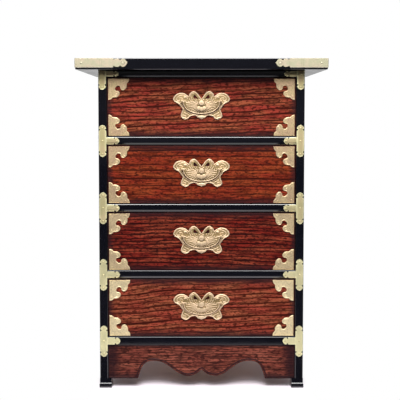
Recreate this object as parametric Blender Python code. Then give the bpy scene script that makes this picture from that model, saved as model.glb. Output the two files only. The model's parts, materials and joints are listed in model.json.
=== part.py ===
"""Telephone stand: a small floor chest of four drawers in black lacquer and reddish wood, with brass mounts.

Units are metres and +Z is up. The front faces -Y. The origin lies on the floor under the middle of the top.
Each piece is one named object. Drawers and their pulls hang from empties, so that each can be moved whole.
"""

import math

import bmesh
import bpy
from mathutils import Vector
from mathutils.geometry import interpolate_bezier

MM = 0.001
X, Y, Z = range(3)
ROUND_SIDES = 12
CURVE_STEPS = 2  # between two points of a drawn outline

# Clearances
GAP = 0.3 * MM  # between pieces that touch
DRAWER_GAP = 0.8 * MM  # round a drawer front in its opening
DRAWER_SIDE_GAP = 1.5 * MM  # between a drawer box and the posts beside it
PIN_CLEARANCE = 0.25 * MM  # round a pull's trunnion in its eye

# Case
BODY_WIDTH = 372 * MM
BODY_DEPTH = 302 * MM
BASE_HEIGHT = 78.9 * MM  # floor to the underside of the bottom rail
BOTTOM_RAIL_HEIGHT = 16 * MM
DRAWER_COUNT = 4
DRAWER_OPENING = 106.4 * MM
DIVIDER_HEIGHT = 15.5 * MM
TOP_RAIL_HEIGHT = 13 * MM
POST_WIDTH = 15 * MM
POST_DEPTH = 20 * MM
POST_ROUND = 1.2 * MM
RAIL_SETBACK = 1 * MM  # rails lie this far behind the faces of the posts
RAIL_ROUND = 5 * MM
RAIL_TENON = 7 * MM
TENON_INSET = 3 * MM  # from a rail's front to its tenon
TENON_THICKNESS = 5 * MM
TENON_WALL = 1.5 * MM  # between a tenon and a panel's groove
SIDE_RAIL_TENON = 5 * MM
PANEL_THICKNESS = 6 * MM
PANEL_GROOVE = 3 * MM
BACK_THICKNESS = 5 * MM
BACK_INSET = 3 * MM
SHELF_THICKNESS = 8 * MM
SHELF_HOUSING = 2 * MM

# Top board
TOP_THICKNESS = 20 * MM
SIDE_OVERHANG = 37.2 * MM
FRONT_OVERHANG = 28 * MM
BACK_OVERHANG = 10 * MM
TOP_CHAMFER = 2.5 * MM
TOP_ROUND = 1 * MM
POST_TENON = 8 * MM
POST_TENON_SIDE = 9 * MM

# Base
FOOT_WIDTH = 22.6 * MM
FOOT_DEPTH = 28 * MM
FOOT_HEIGHT = 17.5 * MM
FOOT_PROUD = 1 * MM
FOOT_TIER = 8.5 * MM  # height of the lower tier
FOOT_STEP = 1.2 * MM
APRON_THICKNESS = 12 * MM
APRON_SETBACK = 3 * MM
APRON_TENON = 5 * MM
APRON_TENON_SHOULDER = 3 * MM
APRON_TENON_RISE = 15 * MM  # from the apron's foot to its tenons

# Lower edge of the front apron: distance from the middle, height above the apron's own feet
FRONT_APRON_CURVE = [
    (0, 15.7),
    (9.5, 8.7),
    (20, 4.5),
    (29, 4.4),
    (38, 7.2),
    (52, 17.2),
    (65, 26.5),
    (77, 31.5),
    (92, 33.7),
    (104, 30.5),
    (111.5, 23.2),
    (115.5, 13.2),
    (117.8, 0),
]
# Lower edge of a side apron: a plain arch, as distance in from its foot and height above it
SIDE_APRON_FOOT = 48 * MM
SIDE_APRON_CURVE = [(0, 0), (2.3, 13.2), (6.3, 23.2), (13.8, 30.5), (25.8, 33.7)]

# Drawers
FRONT_THICKNESS = 15 * MM
FRONT_RECESS = 2 * MM
FRONT_ROUND = 0.6 * MM
BOX_THICKNESS = 9 * MM
BOX_TOP_SPACE = 26 * MM  # above a drawer's sides
BOX_BACK_SPACE = 22 * MM  # behind a closed drawer
BOX_TAIL = 4.5 * MM  # of the sides, behind the drawer's back
DADO_DEPTH = 5 * MM
BACK_DADO = 3 * MM
BOTTOM_THICKNESS = 4 * MM
BOTTOM_GROOVE = 4 * MM
BOTTOM_RISE = 6 * MM  # from the lower edge of the drawer side

# Brass straps on the front posts and at the corners of the top
STRAP_PROUD = 0.8 * MM
STRAP_SINK = 0.6 * MM
STRAP_MARGIN = 0.8 * MM
STRAP_HALF_LENGTH = 29 * MM
STRAP_DROP = 35 * MM  # of the uppermost strap, from the top of the case
STRAP_ARM = 22.6 * MM
STRAP_ARM_MARGIN = 1.6 * MM
FINIAL_NOTCH = 1.6 * MM
FINIAL_LENGTH = 8.2 * MM
CORNER_STRIP_LENGTH = 67 * MM
CORNER_STRIP_HEIGHT = 16.5 * MM
CORNER_STRIP_THICKNESS = 0.9 * MM
# Upper edge of the two knobs at the end of a corner strip: distance past the strip, height above its middle
CORNER_KNOB = [(1.2, 5), (3.5, 6.6), (7.7, 7.4), (11, 6.4), (12.5, 4.2)]
CORNER_KNOB_TIP = [(12.5, 4.2), (14.5, 6.2), (18, 7.2), (21.5, 5.6), (24, 2.4), (26, 0)]

# Brass corner plate on a drawer front: half its scalloped edge, from the long tip to the diagonal
PLATE_PROUD = 0.8 * MM
PLATE_SINK = 0.5 * MM
PLATE_MARGIN = 0.8 * MM
CORNER_TIP = [(38, 0), (37, 5), (33.6, 8.6)]
CORNER_LOBE = [(33.6, 8.6), (33, 15.4), (28, 19.6), (23.4, 14.4)]
CORNER_POCKET = [(23.4, 14.4), (19.2, 13.2), (15.6, 15.6)]

# Butterfly handle: half its outline in runs that meet at corners, right of the middle and above the centre
HANDLE_RISE = 3 * MM  # above the middle of the drawer front
HANDLE_THICKNESS = 1.6 * MM
HANDLE_ANTENNA = [(0, 11.9), (7.6, 22), (14.5, 25.8), (21.2, 21.4), (23.1, 16.3)]
HANDLE_WING = [(23.1, 16.3), (29.4, 20.9), (36.6, 22.6), (44.6, 20.6), (50.2, 15.4), (51.6, 10.8), (49.4, 6.8)]
HANDLE_SIDE = [(49.4, 6.8), (45.4, 4.7), (40.4, 1.6), (33.7, -7.4)]
HANDLE_CURL = [(33.7, -7.4), (37, -15.6), (37.2, -21.6), (30.4, -26.6), (24, -24.8), (20.8, -20.8)]
HANDLE_TAIL = [(20.8, -20.8), (15.6, -19.6), (9.4, -18), (4.4, -23), (0, -25.8)]
ANTENNA_HOLE = [(7, 13.4), (11.6, 19.6), (14, 14.8)]

# Pull and its pivots on the handle
PULL_SHOULDER = [(0, 8.4), (12, 9.4), (24, 10), (30, 9.4)]
PULL_EDGE = [(30, 9.4), (33, 5.6), (32.2, 0), (28, -6.2), (20, -11.4), (10, -14.4), (0, -15.4)]
PULL_MIDDLE = -2 * MM  # height of the dome's crown
PULL_RIM = 2 * MM
PULL_DOME = 4.2 * MM
PULL_RINGS = [(0.85, 0.6), (0.6, 0.4)]  # steps of the dome: share of the last outline, share of the rise
PULL_STANDOFF = 5 * MM  # finger room behind the pull
PIVOT_RISE = 7.6 * MM  # above the handle's centre
TRUNNION_RADIUS = 0.9 * MM
TRUNNION_ROOT = 6 * MM  # length inside the pull
EYE_THICKNESS = 3 * MM
EYE_GAP = 0.7 * MM  # between the pull's edge and an eye
EYE_RADIUS = 3 * MM
STUD_RADIUS = 2 * MM
RIVET_RADIUS = 4.5 * MM
RIVET_THICKNESS = 2 * MM
BODY_RADIUS = 4.4 * MM  # of the insect's body on the pull
BODY_LENGTH = 8.7 * MM
BODY_DROP = 6.5 * MM
BODY_RELIEF = 3 * MM  # from the pull's rim to the middle of the body
HEAD_RADIUS = 5 * MM
HEAD_RISE = 3 * MM

# Derived places
TOP_WIDTH = BODY_WIDTH + 2 * SIDE_OVERHANG
TOP_DEPTH = FRONT_OVERHANG + BODY_DEPTH + BACK_OVERHANG
BODY_HALF = BODY_WIDTH / 2
BODY_FRONT = FRONT_OVERHANG - TOP_DEPTH / 2
BODY_BACK = BODY_FRONT + BODY_DEPTH
POST_INNER = BODY_HALF - POST_WIDTH
POST_BACK = BODY_FRONT + POST_DEPTH  # back of the front posts
REAR_POST_FRONT = BODY_BACK - POST_DEPTH
RAIL_FRONT = BODY_FRONT + RAIL_SETBACK
SIDE_RAIL_OUTER = BODY_HALF - RAIL_SETBACK
SIDE_RAIL_INNER = POST_INNER + RAIL_SETBACK
TENON_SHOULDER = PANEL_GROOVE + TENON_WALL
PANEL_MIDDLE = BODY_HALF - POST_WIDTH / 2
PANEL_INNER = PANEL_MIDDLE - PANEL_THICKNESS / 2
BOTTOM_RAIL_TOP = BASE_HEIGHT + BOTTOM_RAIL_HEIGHT
DRAWER_PITCH = DRAWER_OPENING + DIVIDER_HEIGHT
TOP_RAIL_BOTTOM = BOTTOM_RAIL_TOP + DRAWER_COUNT * DRAWER_PITCH - DIVIDER_HEIGHT
CASE_TOP = TOP_RAIL_BOTTOM + TOP_RAIL_HEIGHT
HEIGHT = CASE_TOP + TOP_THICKNESS
BACK_FRONT = BODY_BACK - BACK_INSET - BACK_THICKNESS  # front face of the back panel
FRONT_FACE = BODY_FRONT + FRONT_RECESS  # front face of a closed drawer
FRONT_REAR = FRONT_FACE + FRONT_THICKNESS
BOX_HALF = POST_INNER - DRAWER_SIDE_GAP
BOX_REAR = BACK_FRONT - BOX_BACK_SPACE
HANDLE_FACE = FRONT_FACE - GAP - HANDLE_THICKNESS
PULL_BACK = HANDLE_FACE - PULL_STANDOFF
PIVOT_Y = PULL_BACK - PULL_RIM / 2
PULL_HALF_WIDTH = max(u for u, v in PULL_EDGE) * MM
EYE_INNER = PULL_HALF_WIDTH + EYE_GAP
EYE_MIDDLE = EYE_INNER + EYE_THICKNESS / 2


# Scene and materials


def clear_scene():
    for obj in list(bpy.data.objects):
        bpy.data.objects.remove(obj, do_unlink=True)


def make_material(name, colour, roughness, metallic=0.0):
    material = bpy.data.materials.new(name)
    material.use_nodes = True
    shader = material.node_tree.nodes["Principled BSDF"]
    shader.inputs["Base Color"].default_value = (*colour, 1)
    shader.inputs["Roughness"].default_value = roughness
    shader.inputs["Metallic"].default_value = metallic
    return material


def add_empty(name, place, parent=None):
    empty = bpy.data.objects.new(name, None)
    bpy.context.scene.collection.objects.link(empty)
    empty.parent = parent
    empty.location = Vector(place) - (world_place(parent) if parent else Vector())
    return empty


def world_place(obj):
    """Where an unturned object stands, through its parents."""
    place = Vector(obj.location)
    while obj.parent:
        obj = obj.parent
        place += obj.location
    return place


def add_object(name, shape, material, origin, parent=None):
    """An object from a bmesh that was drawn in world places, with its origin at the given point."""
    origin = Vector(origin)
    bmesh.ops.translate(shape, vec=-origin, verts=shape.verts)
    bmesh.ops.recalc_face_normals(shape, faces=shape.faces)
    mesh = bpy.data.meshes.new(name)
    shape.to_mesh(mesh)
    shape.free()
    mesh.shade_smooth()
    mesh.set_sharp_from_angle(angle=math.radians(35))
    mesh.materials.append(material)
    obj = bpy.data.objects.new(name, mesh)
    bpy.context.scene.collection.objects.link(obj)
    obj.parent = parent
    obj.location = origin - (world_place(parent) if parent else Vector())
    return obj


def add_helper(name, shape, material, origin, parent=None):
    """A cutter, or a shape to be joined to a piece."""
    helper = add_object(name, shape, material, origin, parent)
    helper.hide_render = True
    helper.display_type = "WIRE"
    return helper


def combine(obj, helper, operation):
    modifier = obj.modifiers.new(helper.name, "BOOLEAN")
    modifier.operation = operation
    modifier.object = helper
    modifier.material_mode = "TRANSFER"


# Shapes


def box_shape(low, high, shape=None):
    """A box between two corners, alone or added to a shape."""
    shape = shape or bmesh.new()
    made = bmesh.ops.create_cube(shape, size=1)["verts"]
    low, high = Vector(low), Vector(high)
    bmesh.ops.scale(shape, vec=high - low, verts=made)
    bmesh.ops.translate(shape, vec=(low + high) / 2, verts=made)
    return shape


def boxes_shape(boxes):
    shape = bmesh.new()
    for low, high in boxes:
        box_shape(low, high, shape)
    return shape


def grown(box, amount=GAP):
    low, high = box
    return Vector(low) - Vector((amount,) * 3), Vector(high) + Vector((amount,) * 3)


def rod_shape(start, end, radius, shape=None):
    """A round bar between two points on a line along one axis."""
    shape = shape or bmesh.new()
    start, end = Vector(start), Vector(end)
    made = bmesh.ops.create_cone(
        shape,
        cap_ends=True,
        segments=ROUND_SIDES,
        radius1=radius,
        radius2=radius,
        depth=(end - start).length,
    )["verts"]
    turn = Vector((0, 0, 1)).rotation_difference(end - start)
    bmesh.ops.rotate(shape, cent=(0, 0, 0), matrix=turn.to_matrix(), verts=made)
    bmesh.ops.translate(shape, vec=(start + end) / 2, verts=made)
    return shape


def round_edges(shape, wanted, radius, segments=2):
    """Rounds the edges whose middle the function wants."""
    edges = [e for e in shape.edges if wanted((e.verts[0].co + e.verts[1].co) / 2, e)]
    bmesh.ops.bevel(
        shape, geom=edges, offset=radius, segments=segments, profile=0.5, affect="EDGES", material=-1
    )


def runs_along(edge, axis):
    line = edge.verts[1].co - edge.verts[0].co
    return abs(line[axis]) > 0.9 * line.length


def draw_out(shape, faces):
    """Extrudes faces of a solid. Gives the new faces and their points, which still lie on the old ones."""
    edges = {e for f in faces for e in f.edges}
    drawn = bmesh.ops.extrude_face_region(shape, geom=[*faces, *edges])["geom"]
    new_faces = [g for g in drawn if isinstance(g, bmesh.types.BMFace)]
    return new_faces, [g for g in drawn if isinstance(g, bmesh.types.BMVert)]


def add_tenon(shape, axis, side, box):
    """Draws a stub tenon out of one end of a bar, to fill the given box."""
    low, high = Vector(box[0]), Vector(box[1])
    end = max(shape.faces, key=lambda f: side * f.calc_center_median()[axis])
    root, root_verts = draw_out(shape, [end])
    for a in (a for a in (X, Y, Z) if a != axis):
        least, most = min(v.co[a] for v in root_verts), max(v.co[a] for v in root_verts)
        for vert in root_verts:
            share = (vert.co[a] - least) / (most - least)
            vert.co[a] = low[a] + share * (high[a] - low[a])
    _, tip_verts = draw_out(shape, root)
    for vert in tip_verts:
        vert.co[axis] = high[axis] if side > 0 else low[axis]


def smooth_run(points, steps=CURVE_STEPS):
    """Points along a smooth open curve through the given ones."""
    knots = [Vector((*p, 0)) for p in points]
    line = [knots[0]]
    for i in range(len(knots) - 1):
        here, there = knots[i], knots[i + 1]
        before, after = knots[max(i - 1, 0)], knots[min(i + 2, len(knots) - 1)]
        bend_out = here + (there - before) / 6
        bend_in = there - (after - here) / 6
        line += interpolate_bezier(here, bend_out, bend_in, there, steps + 1)[1:]
    return [(p.x, p.y) for p in line]


def joined_runs(runs, unit=MM):
    """One line through smooth runs that meet at corners."""
    line = []
    for run in runs:
        smooth = [(u * unit, v * unit) for u, v in smooth_run(run)]
        line += smooth if not line else smooth[1:]
    return line


def mirrored_loop(half):
    """A closed outline from its right half, which starts and ends on the middle line."""
    return half + [(-u, v) for u, v in reversed(half[1:-1])]


def plate_shape(loops, start, end, axis=Y, shape=None):
    """A flat plate across X or Y, from outlines in the other level axis and Z. An inner loop is a hole."""
    shape = shape or bmesh.new()
    edges = []
    for loop in loops:
        verts = [shape.verts.new((u, start, v) if axis == Y else (start, u, v)) for u, v in loop]
        edges += [shape.edges.new((a, b)) for a, b in zip(verts, verts[1:] + verts[:1])]
    filled = bmesh.ops.triangle_fill(shape, use_beauty=True, use_dissolve=False, edges=edges)["geom"]
    faces = [g for g in filled if isinstance(g, bmesh.types.BMFace)]
    drawn = bmesh.ops.extrude_face_region(shape, geom=faces)["geom"]
    for vert in (g for g in drawn if isinstance(g, bmesh.types.BMVert)):
        vert.co[axis] = end
    return shape


# Places of rails and their tenons


def front_rail_box(bottom, top):
    """The space of a front rail between the shoulders of its tenons."""
    return Vector((-POST_INNER + GAP, RAIL_FRONT, bottom)), Vector((POST_INNER - GAP, POST_BACK, top))


def front_tenon_box(bottom, top, side):
    left, right = on_side(side, POST_INNER, POST_INNER + RAIL_TENON)
    front = RAIL_FRONT + TENON_INSET
    return (left, front, bottom + TENON_SHOULDER), (right, front + TENON_THICKNESS, top - TENON_SHOULDER)


def front_levels():
    """Bottom and top of each front rail, by name, from the top down."""
    levels = {"front_top_rail": (TOP_RAIL_BOTTOM, CASE_TOP - GAP)}
    for n in range(1, DRAWER_COUNT):
        floor = drawer_floor(n)
        levels[f"divider_rail_{n}"] = (floor - DIVIDER_HEIGHT, floor)
    levels["front_bottom_rail"] = (BASE_HEIGHT, BOTTOM_RAIL_TOP)
    return levels


def side_levels():
    return {"top": (TOP_RAIL_BOTTOM, CASE_TOP - GAP), "bottom": (BASE_HEIGHT, BOTTOM_RAIL_TOP)}


def drawer_floor(n):
    """Height of the floor of a drawer's opening. Drawer 1 is the top one."""
    return BOTTOM_RAIL_TOP + (DRAWER_COUNT - n) * DRAWER_PITCH


def on_side(side, inner, outer):
    """Lower and upper X of a span that lies on the left or right side."""
    return min(side * inner, side * outer), max(side * inner, side * outer)


def into_post(end, length):
    """Span in Y of what reaches this far into a front (end -1) or rear (end +1) post."""
    if end < 0:
        return POST_BACK - length, POST_BACK
    return REAR_POST_FRONT, REAR_POST_FRONT + length


def side_tenon_box(bottom, top, side, end):
    left, right = on_side(side, PANEL_MIDDLE - TENON_THICKNESS / 2, PANEL_MIDDLE + TENON_THICKNESS / 2)
    near, far = into_post(end, SIDE_RAIL_TENON)
    return (left, near, bottom + TENON_SHOULDER), (right, far, top - TENON_SHOULDER)


def side_panel_box(side):
    left, right = on_side(side, PANEL_INNER, PANEL_INNER + PANEL_THICKNESS)
    low = (left, POST_BACK - PANEL_GROOVE, BOTTOM_RAIL_TOP - PANEL_GROOVE)
    high = (right, REAR_POST_FRONT + PANEL_GROOVE, TOP_RAIL_BOTTOM + PANEL_GROOVE)
    return low, high


def back_panel_box():
    half = POST_INNER + PANEL_GROOVE
    return (-half, BACK_FRONT, BASE_HEIGHT), (half, BACK_FRONT + BACK_THICKNESS, CASE_TOP - GAP)


def apron_bottom():
    return FOOT_HEIGHT + GAP


def apron_top():
    return BASE_HEIGHT - GAP


def apron_tenon_height():
    """Bottom and top of an apron's tenons."""
    return apron_bottom() + APRON_TENON_RISE, apron_top() - APRON_TENON_SHOULDER


def front_apron_tenon_box(side):
    left, right = on_side(side, POST_INNER, POST_INNER + APRON_TENON)
    front = BODY_FRONT + APRON_SETBACK
    bottom, top = apron_tenon_height()
    low = (left, front + APRON_TENON_SHOULDER, bottom)
    return low, (right, front + APRON_THICKNESS - APRON_TENON_SHOULDER, top)


def side_apron_tenon_box(side, end):
    outer = BODY_HALF - APRON_SETBACK
    left, right = on_side(
        side, outer - APRON_THICKNESS + APRON_TENON_SHOULDER, outer - APRON_TENON_SHOULDER
    )
    near, far = into_post(end, APRON_TENON)
    bottom, top = apron_tenon_height()
    return (left, near, bottom), (right, far, top)


def post_middle(side, end):
    near = BODY_FRONT if end < 0 else REAR_POST_FRONT
    return side * PANEL_MIDDLE, near + POST_DEPTH / 2


def post_tenon_box(side, end, bottom, top):
    x, y = post_middle(side, end)
    half = POST_TENON_SIDE / 2
    return (x - half, y - half, bottom), (x + half, y + half, top)


# Case


def make_post(name, side, end, lacquer):
    """A corner post with its mortises and grooves."""
    x, y = post_middle(side, end)
    low = Vector((x - POST_WIDTH / 2, y - POST_DEPTH / 2, FOOT_HEIGHT + GAP))
    high = Vector((x + POST_WIDTH / 2, y + POST_DEPTH / 2, CASE_TOP - GAP))
    shape = box_shape(low, high)
    round_edges(shape, lambda mid, e: runs_along(e, Z), POST_ROUND, segments=1)
    add_tenon(shape, Z, 1, post_tenon_box(side, end, CASE_TOP, CASE_TOP + POST_TENON))
    add_tenon(shape, Z, -1, post_tenon_box(side, end, FOOT_HEIGHT - POST_TENON, FOOT_HEIGHT))
    post = add_object(name, shape, lacquer, (low + high) / 2)
    cuts = [side_tenon_box(*span, side, end) for span in side_levels().values()]
    cuts += [side_apron_tenon_box(side, end), side_panel_box(side)]
    if end < 0:
        cuts += [front_tenon_box(*span, side) for span in front_levels().values()]
        cuts.append(front_apron_tenon_box(side))
    else:
        cuts.append(back_panel_box())
    cutter = add_helper(f"{name}_cuts", boxes_shape([grown(c) for c in cuts]), lacquer, post.location)
    combine(post, cutter, "DIFFERENCE")
    return post


def make_front_rail(name, span, lacquer):
    low, high = front_rail_box(*span)
    shape = box_shape(low, high)
    round_edges(shape, lambda mid, e: runs_along(e, X) and mid.y < RAIL_FRONT + GAP, RAIL_ROUND, segments=3)
    for side in (-1, 1):
        add_tenon(shape, X, side, front_tenon_box(*span, side))
    return add_object(name, shape, lacquer, (low + high) / 2)


def make_side_rail(name, span, side, lacquer):
    """A side rail, grooved on the edge that faces the panel."""
    bottom, top = span
    left, right = on_side(side, SIDE_RAIL_INNER, SIDE_RAIL_OUTER)
    low = Vector((left, POST_BACK + GAP, bottom))
    high = Vector((right, REAR_POST_FRONT - GAP, top))
    shape = box_shape(low, high)
    outer = side * SIDE_RAIL_OUTER
    round_edges(shape, lambda mid, e: runs_along(e, Y) and abs(mid.x - outer) < GAP, POST_ROUND)
    for end in (-1, 1):
        add_tenon(shape, Y, end, side_tenon_box(bottom, top, side, end))
    rail = add_object(name, shape, lacquer, (low + high) / 2)
    groove = box_shape(*grown(side_panel_box(side)))
    combine(rail, add_helper(f"{name}_groove", groove, lacquer, rail.location), "DIFFERENCE")


def shelf_box(n):
    """The board that a drawer runs on. The lowest one lies between the bottom side rails."""
    floor = drawer_floor(n)
    half = SIDE_RAIL_INNER - GAP if n == DRAWER_COUNT else PANEL_INNER + SHELF_HOUSING
    low = Vector((-half, POST_BACK + GAP, floor - SHELF_THICKNESS))
    return low, Vector((half, REAR_POST_FRONT - GAP, floor))


def make_side_panel(name, side, wood):
    low, high = side_panel_box(side)
    middle = (Vector(low) + Vector(high)) / 2
    panel = add_object(name, box_shape(low, high), wood, middle)
    housings = boxes_shape([grown(shelf_box(n)) for n in range(1, DRAWER_COUNT)])
    combine(panel, add_helper(f"{name}_housings", housings, wood, middle), "DIFFERENCE")
    return panel


def make_board(name, low, high, material, parent=None):
    low, high = Vector(low), Vector(high)
    return add_object(name, box_shape(low, high), material, (low + high) / 2, parent)


def make_top_board(lacquer):
    """The top, with a chamfer under its edge and blind mortises for the posts."""
    half = Vector((TOP_WIDTH / 2, TOP_DEPTH / 2, 0))
    low = Vector((-half.x, -half.y, CASE_TOP))
    high = Vector((half.x, half.y, HEIGHT))
    shape = box_shape(low, high)
    round_edges(shape, lambda mid, e: not runs_along(e, Z) and mid.z < low.z + GAP, TOP_CHAMFER, segments=1)
    round_edges(shape, lambda mid, e: mid.z > high.z - GAP, TOP_ROUND)
    top = add_object("top_board", shape, lacquer, (low + high) / 2)
    cuts = [
        grown(post_tenon_box(side, end, CASE_TOP - POST_TENON, CASE_TOP + POST_TENON))
        for side in (-1, 1)
        for end in (-1, 1)
    ]
    combine(top, add_helper("top_board_mortises", boxes_shape(cuts), lacquer, top.location), "DIFFERENCE")


def make_foot(name, side, end, lacquer):
    """A two-tier block under a post, a little proud of it outside."""
    left, right = on_side(side, BODY_HALF + FOOT_PROUD - FOOT_WIDTH, BODY_HALF + FOOT_PROUD)
    near = BODY_FRONT - FOOT_PROUD if end < 0 else BODY_BACK + FOOT_PROUD - FOOT_DEPTH
    low = Vector((left, near, 0))
    high = Vector((right, near + FOOT_DEPTH, FOOT_TIER))
    shape = box_shape(low, high)
    step = max(shape.faces, key=lambda f: f.calc_center_median().z)
    bmesh.ops.inset_region(shape, faces=[step], thickness=FOOT_STEP, depth=FOOT_STEP)
    _, tier_verts = draw_out(shape, [step])
    for vert in tier_verts:
        vert.co.z = FOOT_HEIGHT
    foot = add_object(name, shape, lacquer, (low + high) / 2)
    mortise = grown(post_tenon_box(side, end, FOOT_HEIGHT - POST_TENON, FOOT_HEIGHT + POST_TENON))
    combine(foot, add_helper(f"{name}_mortise", box_shape(*mortise), lacquer, foot.location), "DIFFERENCE")


def make_front_apron(wood):
    bottom, top = apron_bottom(), apron_top()
    half = POST_INNER - GAP
    curve = [(u * MM, bottom + v * MM) for u, v in smooth_run(FRONT_APRON_CURVE)]
    edge = curve + [(half, bottom), (half, top)]
    outline = edge + [(-u, v) for u, v in reversed(edge[1:])]
    front = BODY_FRONT + APRON_SETBACK
    shape = plate_shape([outline], front + APRON_THICKNESS, front)
    middle = Vector((0, front + APRON_THICKNESS / 2, top))
    apron = add_object("front_apron", shape, wood, middle)
    add_apron_tenons(apron, [front_apron_tenon_box(side) for side in (-1, 1)], X, wood)


def make_side_apron(name, side, wood):
    bottom, top = apron_bottom(), apron_top()
    near, far = POST_BACK + GAP, REAR_POST_FRONT - GAP
    curve = [(u * MM, bottom + v * MM) for u, v in smooth_run(SIDE_APRON_CURVE)]
    start = near + SIDE_APRON_FOOT
    end = far - SIDE_APRON_FOOT
    arch = [(start + u, v) for u, v in curve] + [(end - u, v) for u, v in reversed(curve)]
    outline = [(near, bottom), *arch, (far, bottom), (far, top), (near, top)]
    outer = BODY_HALF - APRON_SETBACK
    shape = plate_shape([outline], side * (outer - APRON_THICKNESS), side * outer, X)
    middle = Vector((side * (outer - APRON_THICKNESS / 2), (near + far) / 2, top))
    apron = add_object(name, shape, wood, middle)
    add_apron_tenons(apron, [side_apron_tenon_box(side, end) for end in (-1, 1)], Y, wood)


def add_apron_tenons(apron, boxes, axis, wood):
    """Joins tenons that start inside the board to its ends."""
    deep = []
    for low, high in boxes:
        low, high = Vector(low), Vector(high)
        inward = 1 if (low[axis] + high[axis]) / 2 < apron.location[axis] else -1
        (high if inward > 0 else low)[axis] += inward * APRON_TENON
        deep.append((low, high))
    helper = add_helper(f"{apron.name}_tenons", boxes_shape(deep), wood, apron.location)
    combine(apron, helper, "UNION")


# Brass on the case


def finial(half):
    """The end of a strap: notches and a pointed round tip, from its right edge to its left one."""
    waist = half - FINIAL_NOTCH
    lobe = [
        (waist, 0.1 * FINIAL_LENGTH),
        (half, 0.32 * FINIAL_LENGTH),
        (0.92 * half, 0.58 * FINIAL_LENGTH),
        (0.5 * half, 0.83 * FINIAL_LENGTH),
        (0, FINIAL_LENGTH),
    ]
    right = [(half, 0), *lobe]
    return right + [(-u, v) for u, v in reversed(right[:-1])]


def strap_outline(half, above, below, arm_half, arm_reach, flat_top):
    """A strap on a post, about the point where its arm meets it, with the arm towards +X."""
    outline = [(u, above - FINIAL_LENGTH + v) for u, v in reversed(finial(half))]
    if flat_top:
        outline = [(-half, above), (half, above)]
    outline.append((half, arm_half))
    outline += [(arm_reach - FINIAL_LENGTH + v, u) for u, v in finial(arm_half)]
    outline.append((half, -arm_half))
    return outline + [(u, FINIAL_LENGTH - below - v) for u, v in finial(half)]


def add_straps(post, side, brass):
    """Joins the brass straps to a front post. Each has an arm over a rail. The uppermost hangs from the top."""
    x, _ = post_middle(side, -1)
    half = POST_WIDTH / 2 - STRAP_MARGIN
    reach = POST_WIDTH / 2 + STRAP_ARM
    straps = bmesh.new()
    for name, (bottom, top) in front_levels().items():
        middle = (bottom + top) / 2
        arm_half = (top - bottom) / 2 - STRAP_ARM_MARGIN
        above = below = STRAP_HALF_LENGTH
        uppermost = name == "front_top_rail"
        if uppermost:
            above = top - STRAP_MARGIN - middle
            below = STRAP_DROP - (top - middle)
        outline = strap_outline(half, above, below, arm_half, reach, flat_top=uppermost)
        outline = [(x - side * u, middle + v) for u, v in outline]
        plate_shape([outline], BODY_FRONT + STRAP_SINK, BODY_FRONT - STRAP_PROUD, shape=straps)
    combine(post, add_helper(f"{post.name}_straps", straps, brass, post.location), "UNION")


def corner_leaf():
    """One leaf of a corner strap: distance from the corner and height about the middle."""
    half = CORNER_STRIP_HEIGHT / 2
    knobs = joined_runs([CORNER_KNOB, CORNER_KNOB_TIP])
    edge = [(0, half), (CORNER_STRIP_LENGTH, half)]
    edge += [(CORNER_STRIP_LENGTH + u, v) for u, v in knobs]
    return edge + [(u, -v) for u, v in reversed(edge[:-1])]


def make_corner_strap(name, side, end, brass):
    """A brass strap bent round one corner of the top board."""
    level = HEIGHT - TOP_ROUND - CORNER_STRIP_HEIGHT / 2
    inner = Vector((TOP_WIDTH / 2 + GAP, TOP_DEPTH / 2 + GAP))
    outer = inner + Vector((CORNER_STRIP_THICKNESS, CORNER_STRIP_THICKNESS))
    face = [(side * (outer.x - u), level + v) for u, v in corner_leaf()]
    return_leaf = [(end * (outer.y - u), level + v) for u, v in corner_leaf()]
    shape = plate_shape([face], end * inner.y, end * outer.y)
    strap = add_object(name, shape, brass, (side * inner.x, end * inner.y, level))
    shape = plate_shape([return_leaf], side * inner.x, side * outer.x, X)
    combine(strap, add_helper(f"{name}_return", shape, brass, strap.location), "UNION")


# Drawers


def front_corners(low, high):
    """Outlines of the four corner plates on a drawer front."""
    half = joined_runs([CORNER_TIP, CORNER_LOBE, CORNER_POCKET])
    scallop = half + [(v, u) for u, v in reversed(half[:-1])]
    loops = []
    for side in (-1, 1):
        for rise in (-1, 1):
            corner_x = (low.x if side < 0 else high.x) - side * PLATE_MARGIN
            corner_z = (low.z if rise < 0 else high.z) - rise * PLATE_MARGIN
            outline = [(0, 0), *scallop]
            loops.append([(corner_x - side * u, corner_z - rise * v) for u, v in outline])
    return loops


def drawer_boxes(n):
    """The boards of a drawer's box, by name. Floors and heights follow the opening."""
    floor = drawer_floor(n) + GAP
    top = drawer_floor(n) + DRAWER_OPENING - BOX_TOP_SPACE
    inner = BOX_HALF - BOX_THICKNESS
    start = FRONT_REAR - DADO_DEPTH
    back_front = BOX_REAR - BOX_TAIL - BOX_THICKNESS
    boards = {
        "side_left": ((-BOX_HALF, start, floor), (-inner, BOX_REAR, top)),
        "side_right": ((inner, start, floor), (BOX_HALF, BOX_REAR, top)),
        "back": ((-inner - BACK_DADO, back_front, floor), (inner + BACK_DADO, back_front + BOX_THICKNESS, top)),
    }
    reach = inner + BOTTOM_GROOVE
    rise = floor + BOTTOM_RISE
    boards["bottom"] = (
        (-reach, FRONT_REAR - BOTTOM_GROOVE, rise),
        (reach, back_front + BOTTOM_GROOVE, rise + BOTTOM_THICKNESS),
    )
    return boards


def pivot_height(n):
    return drawer_floor(n) + DRAWER_OPENING / 2 + HANDLE_RISE + PIVOT_RISE


def stud_line(n, side, start, end):
    x = side * EYE_MIDDLE
    return (x, start, pivot_height(n)), (x, end, pivot_height(n))


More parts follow.
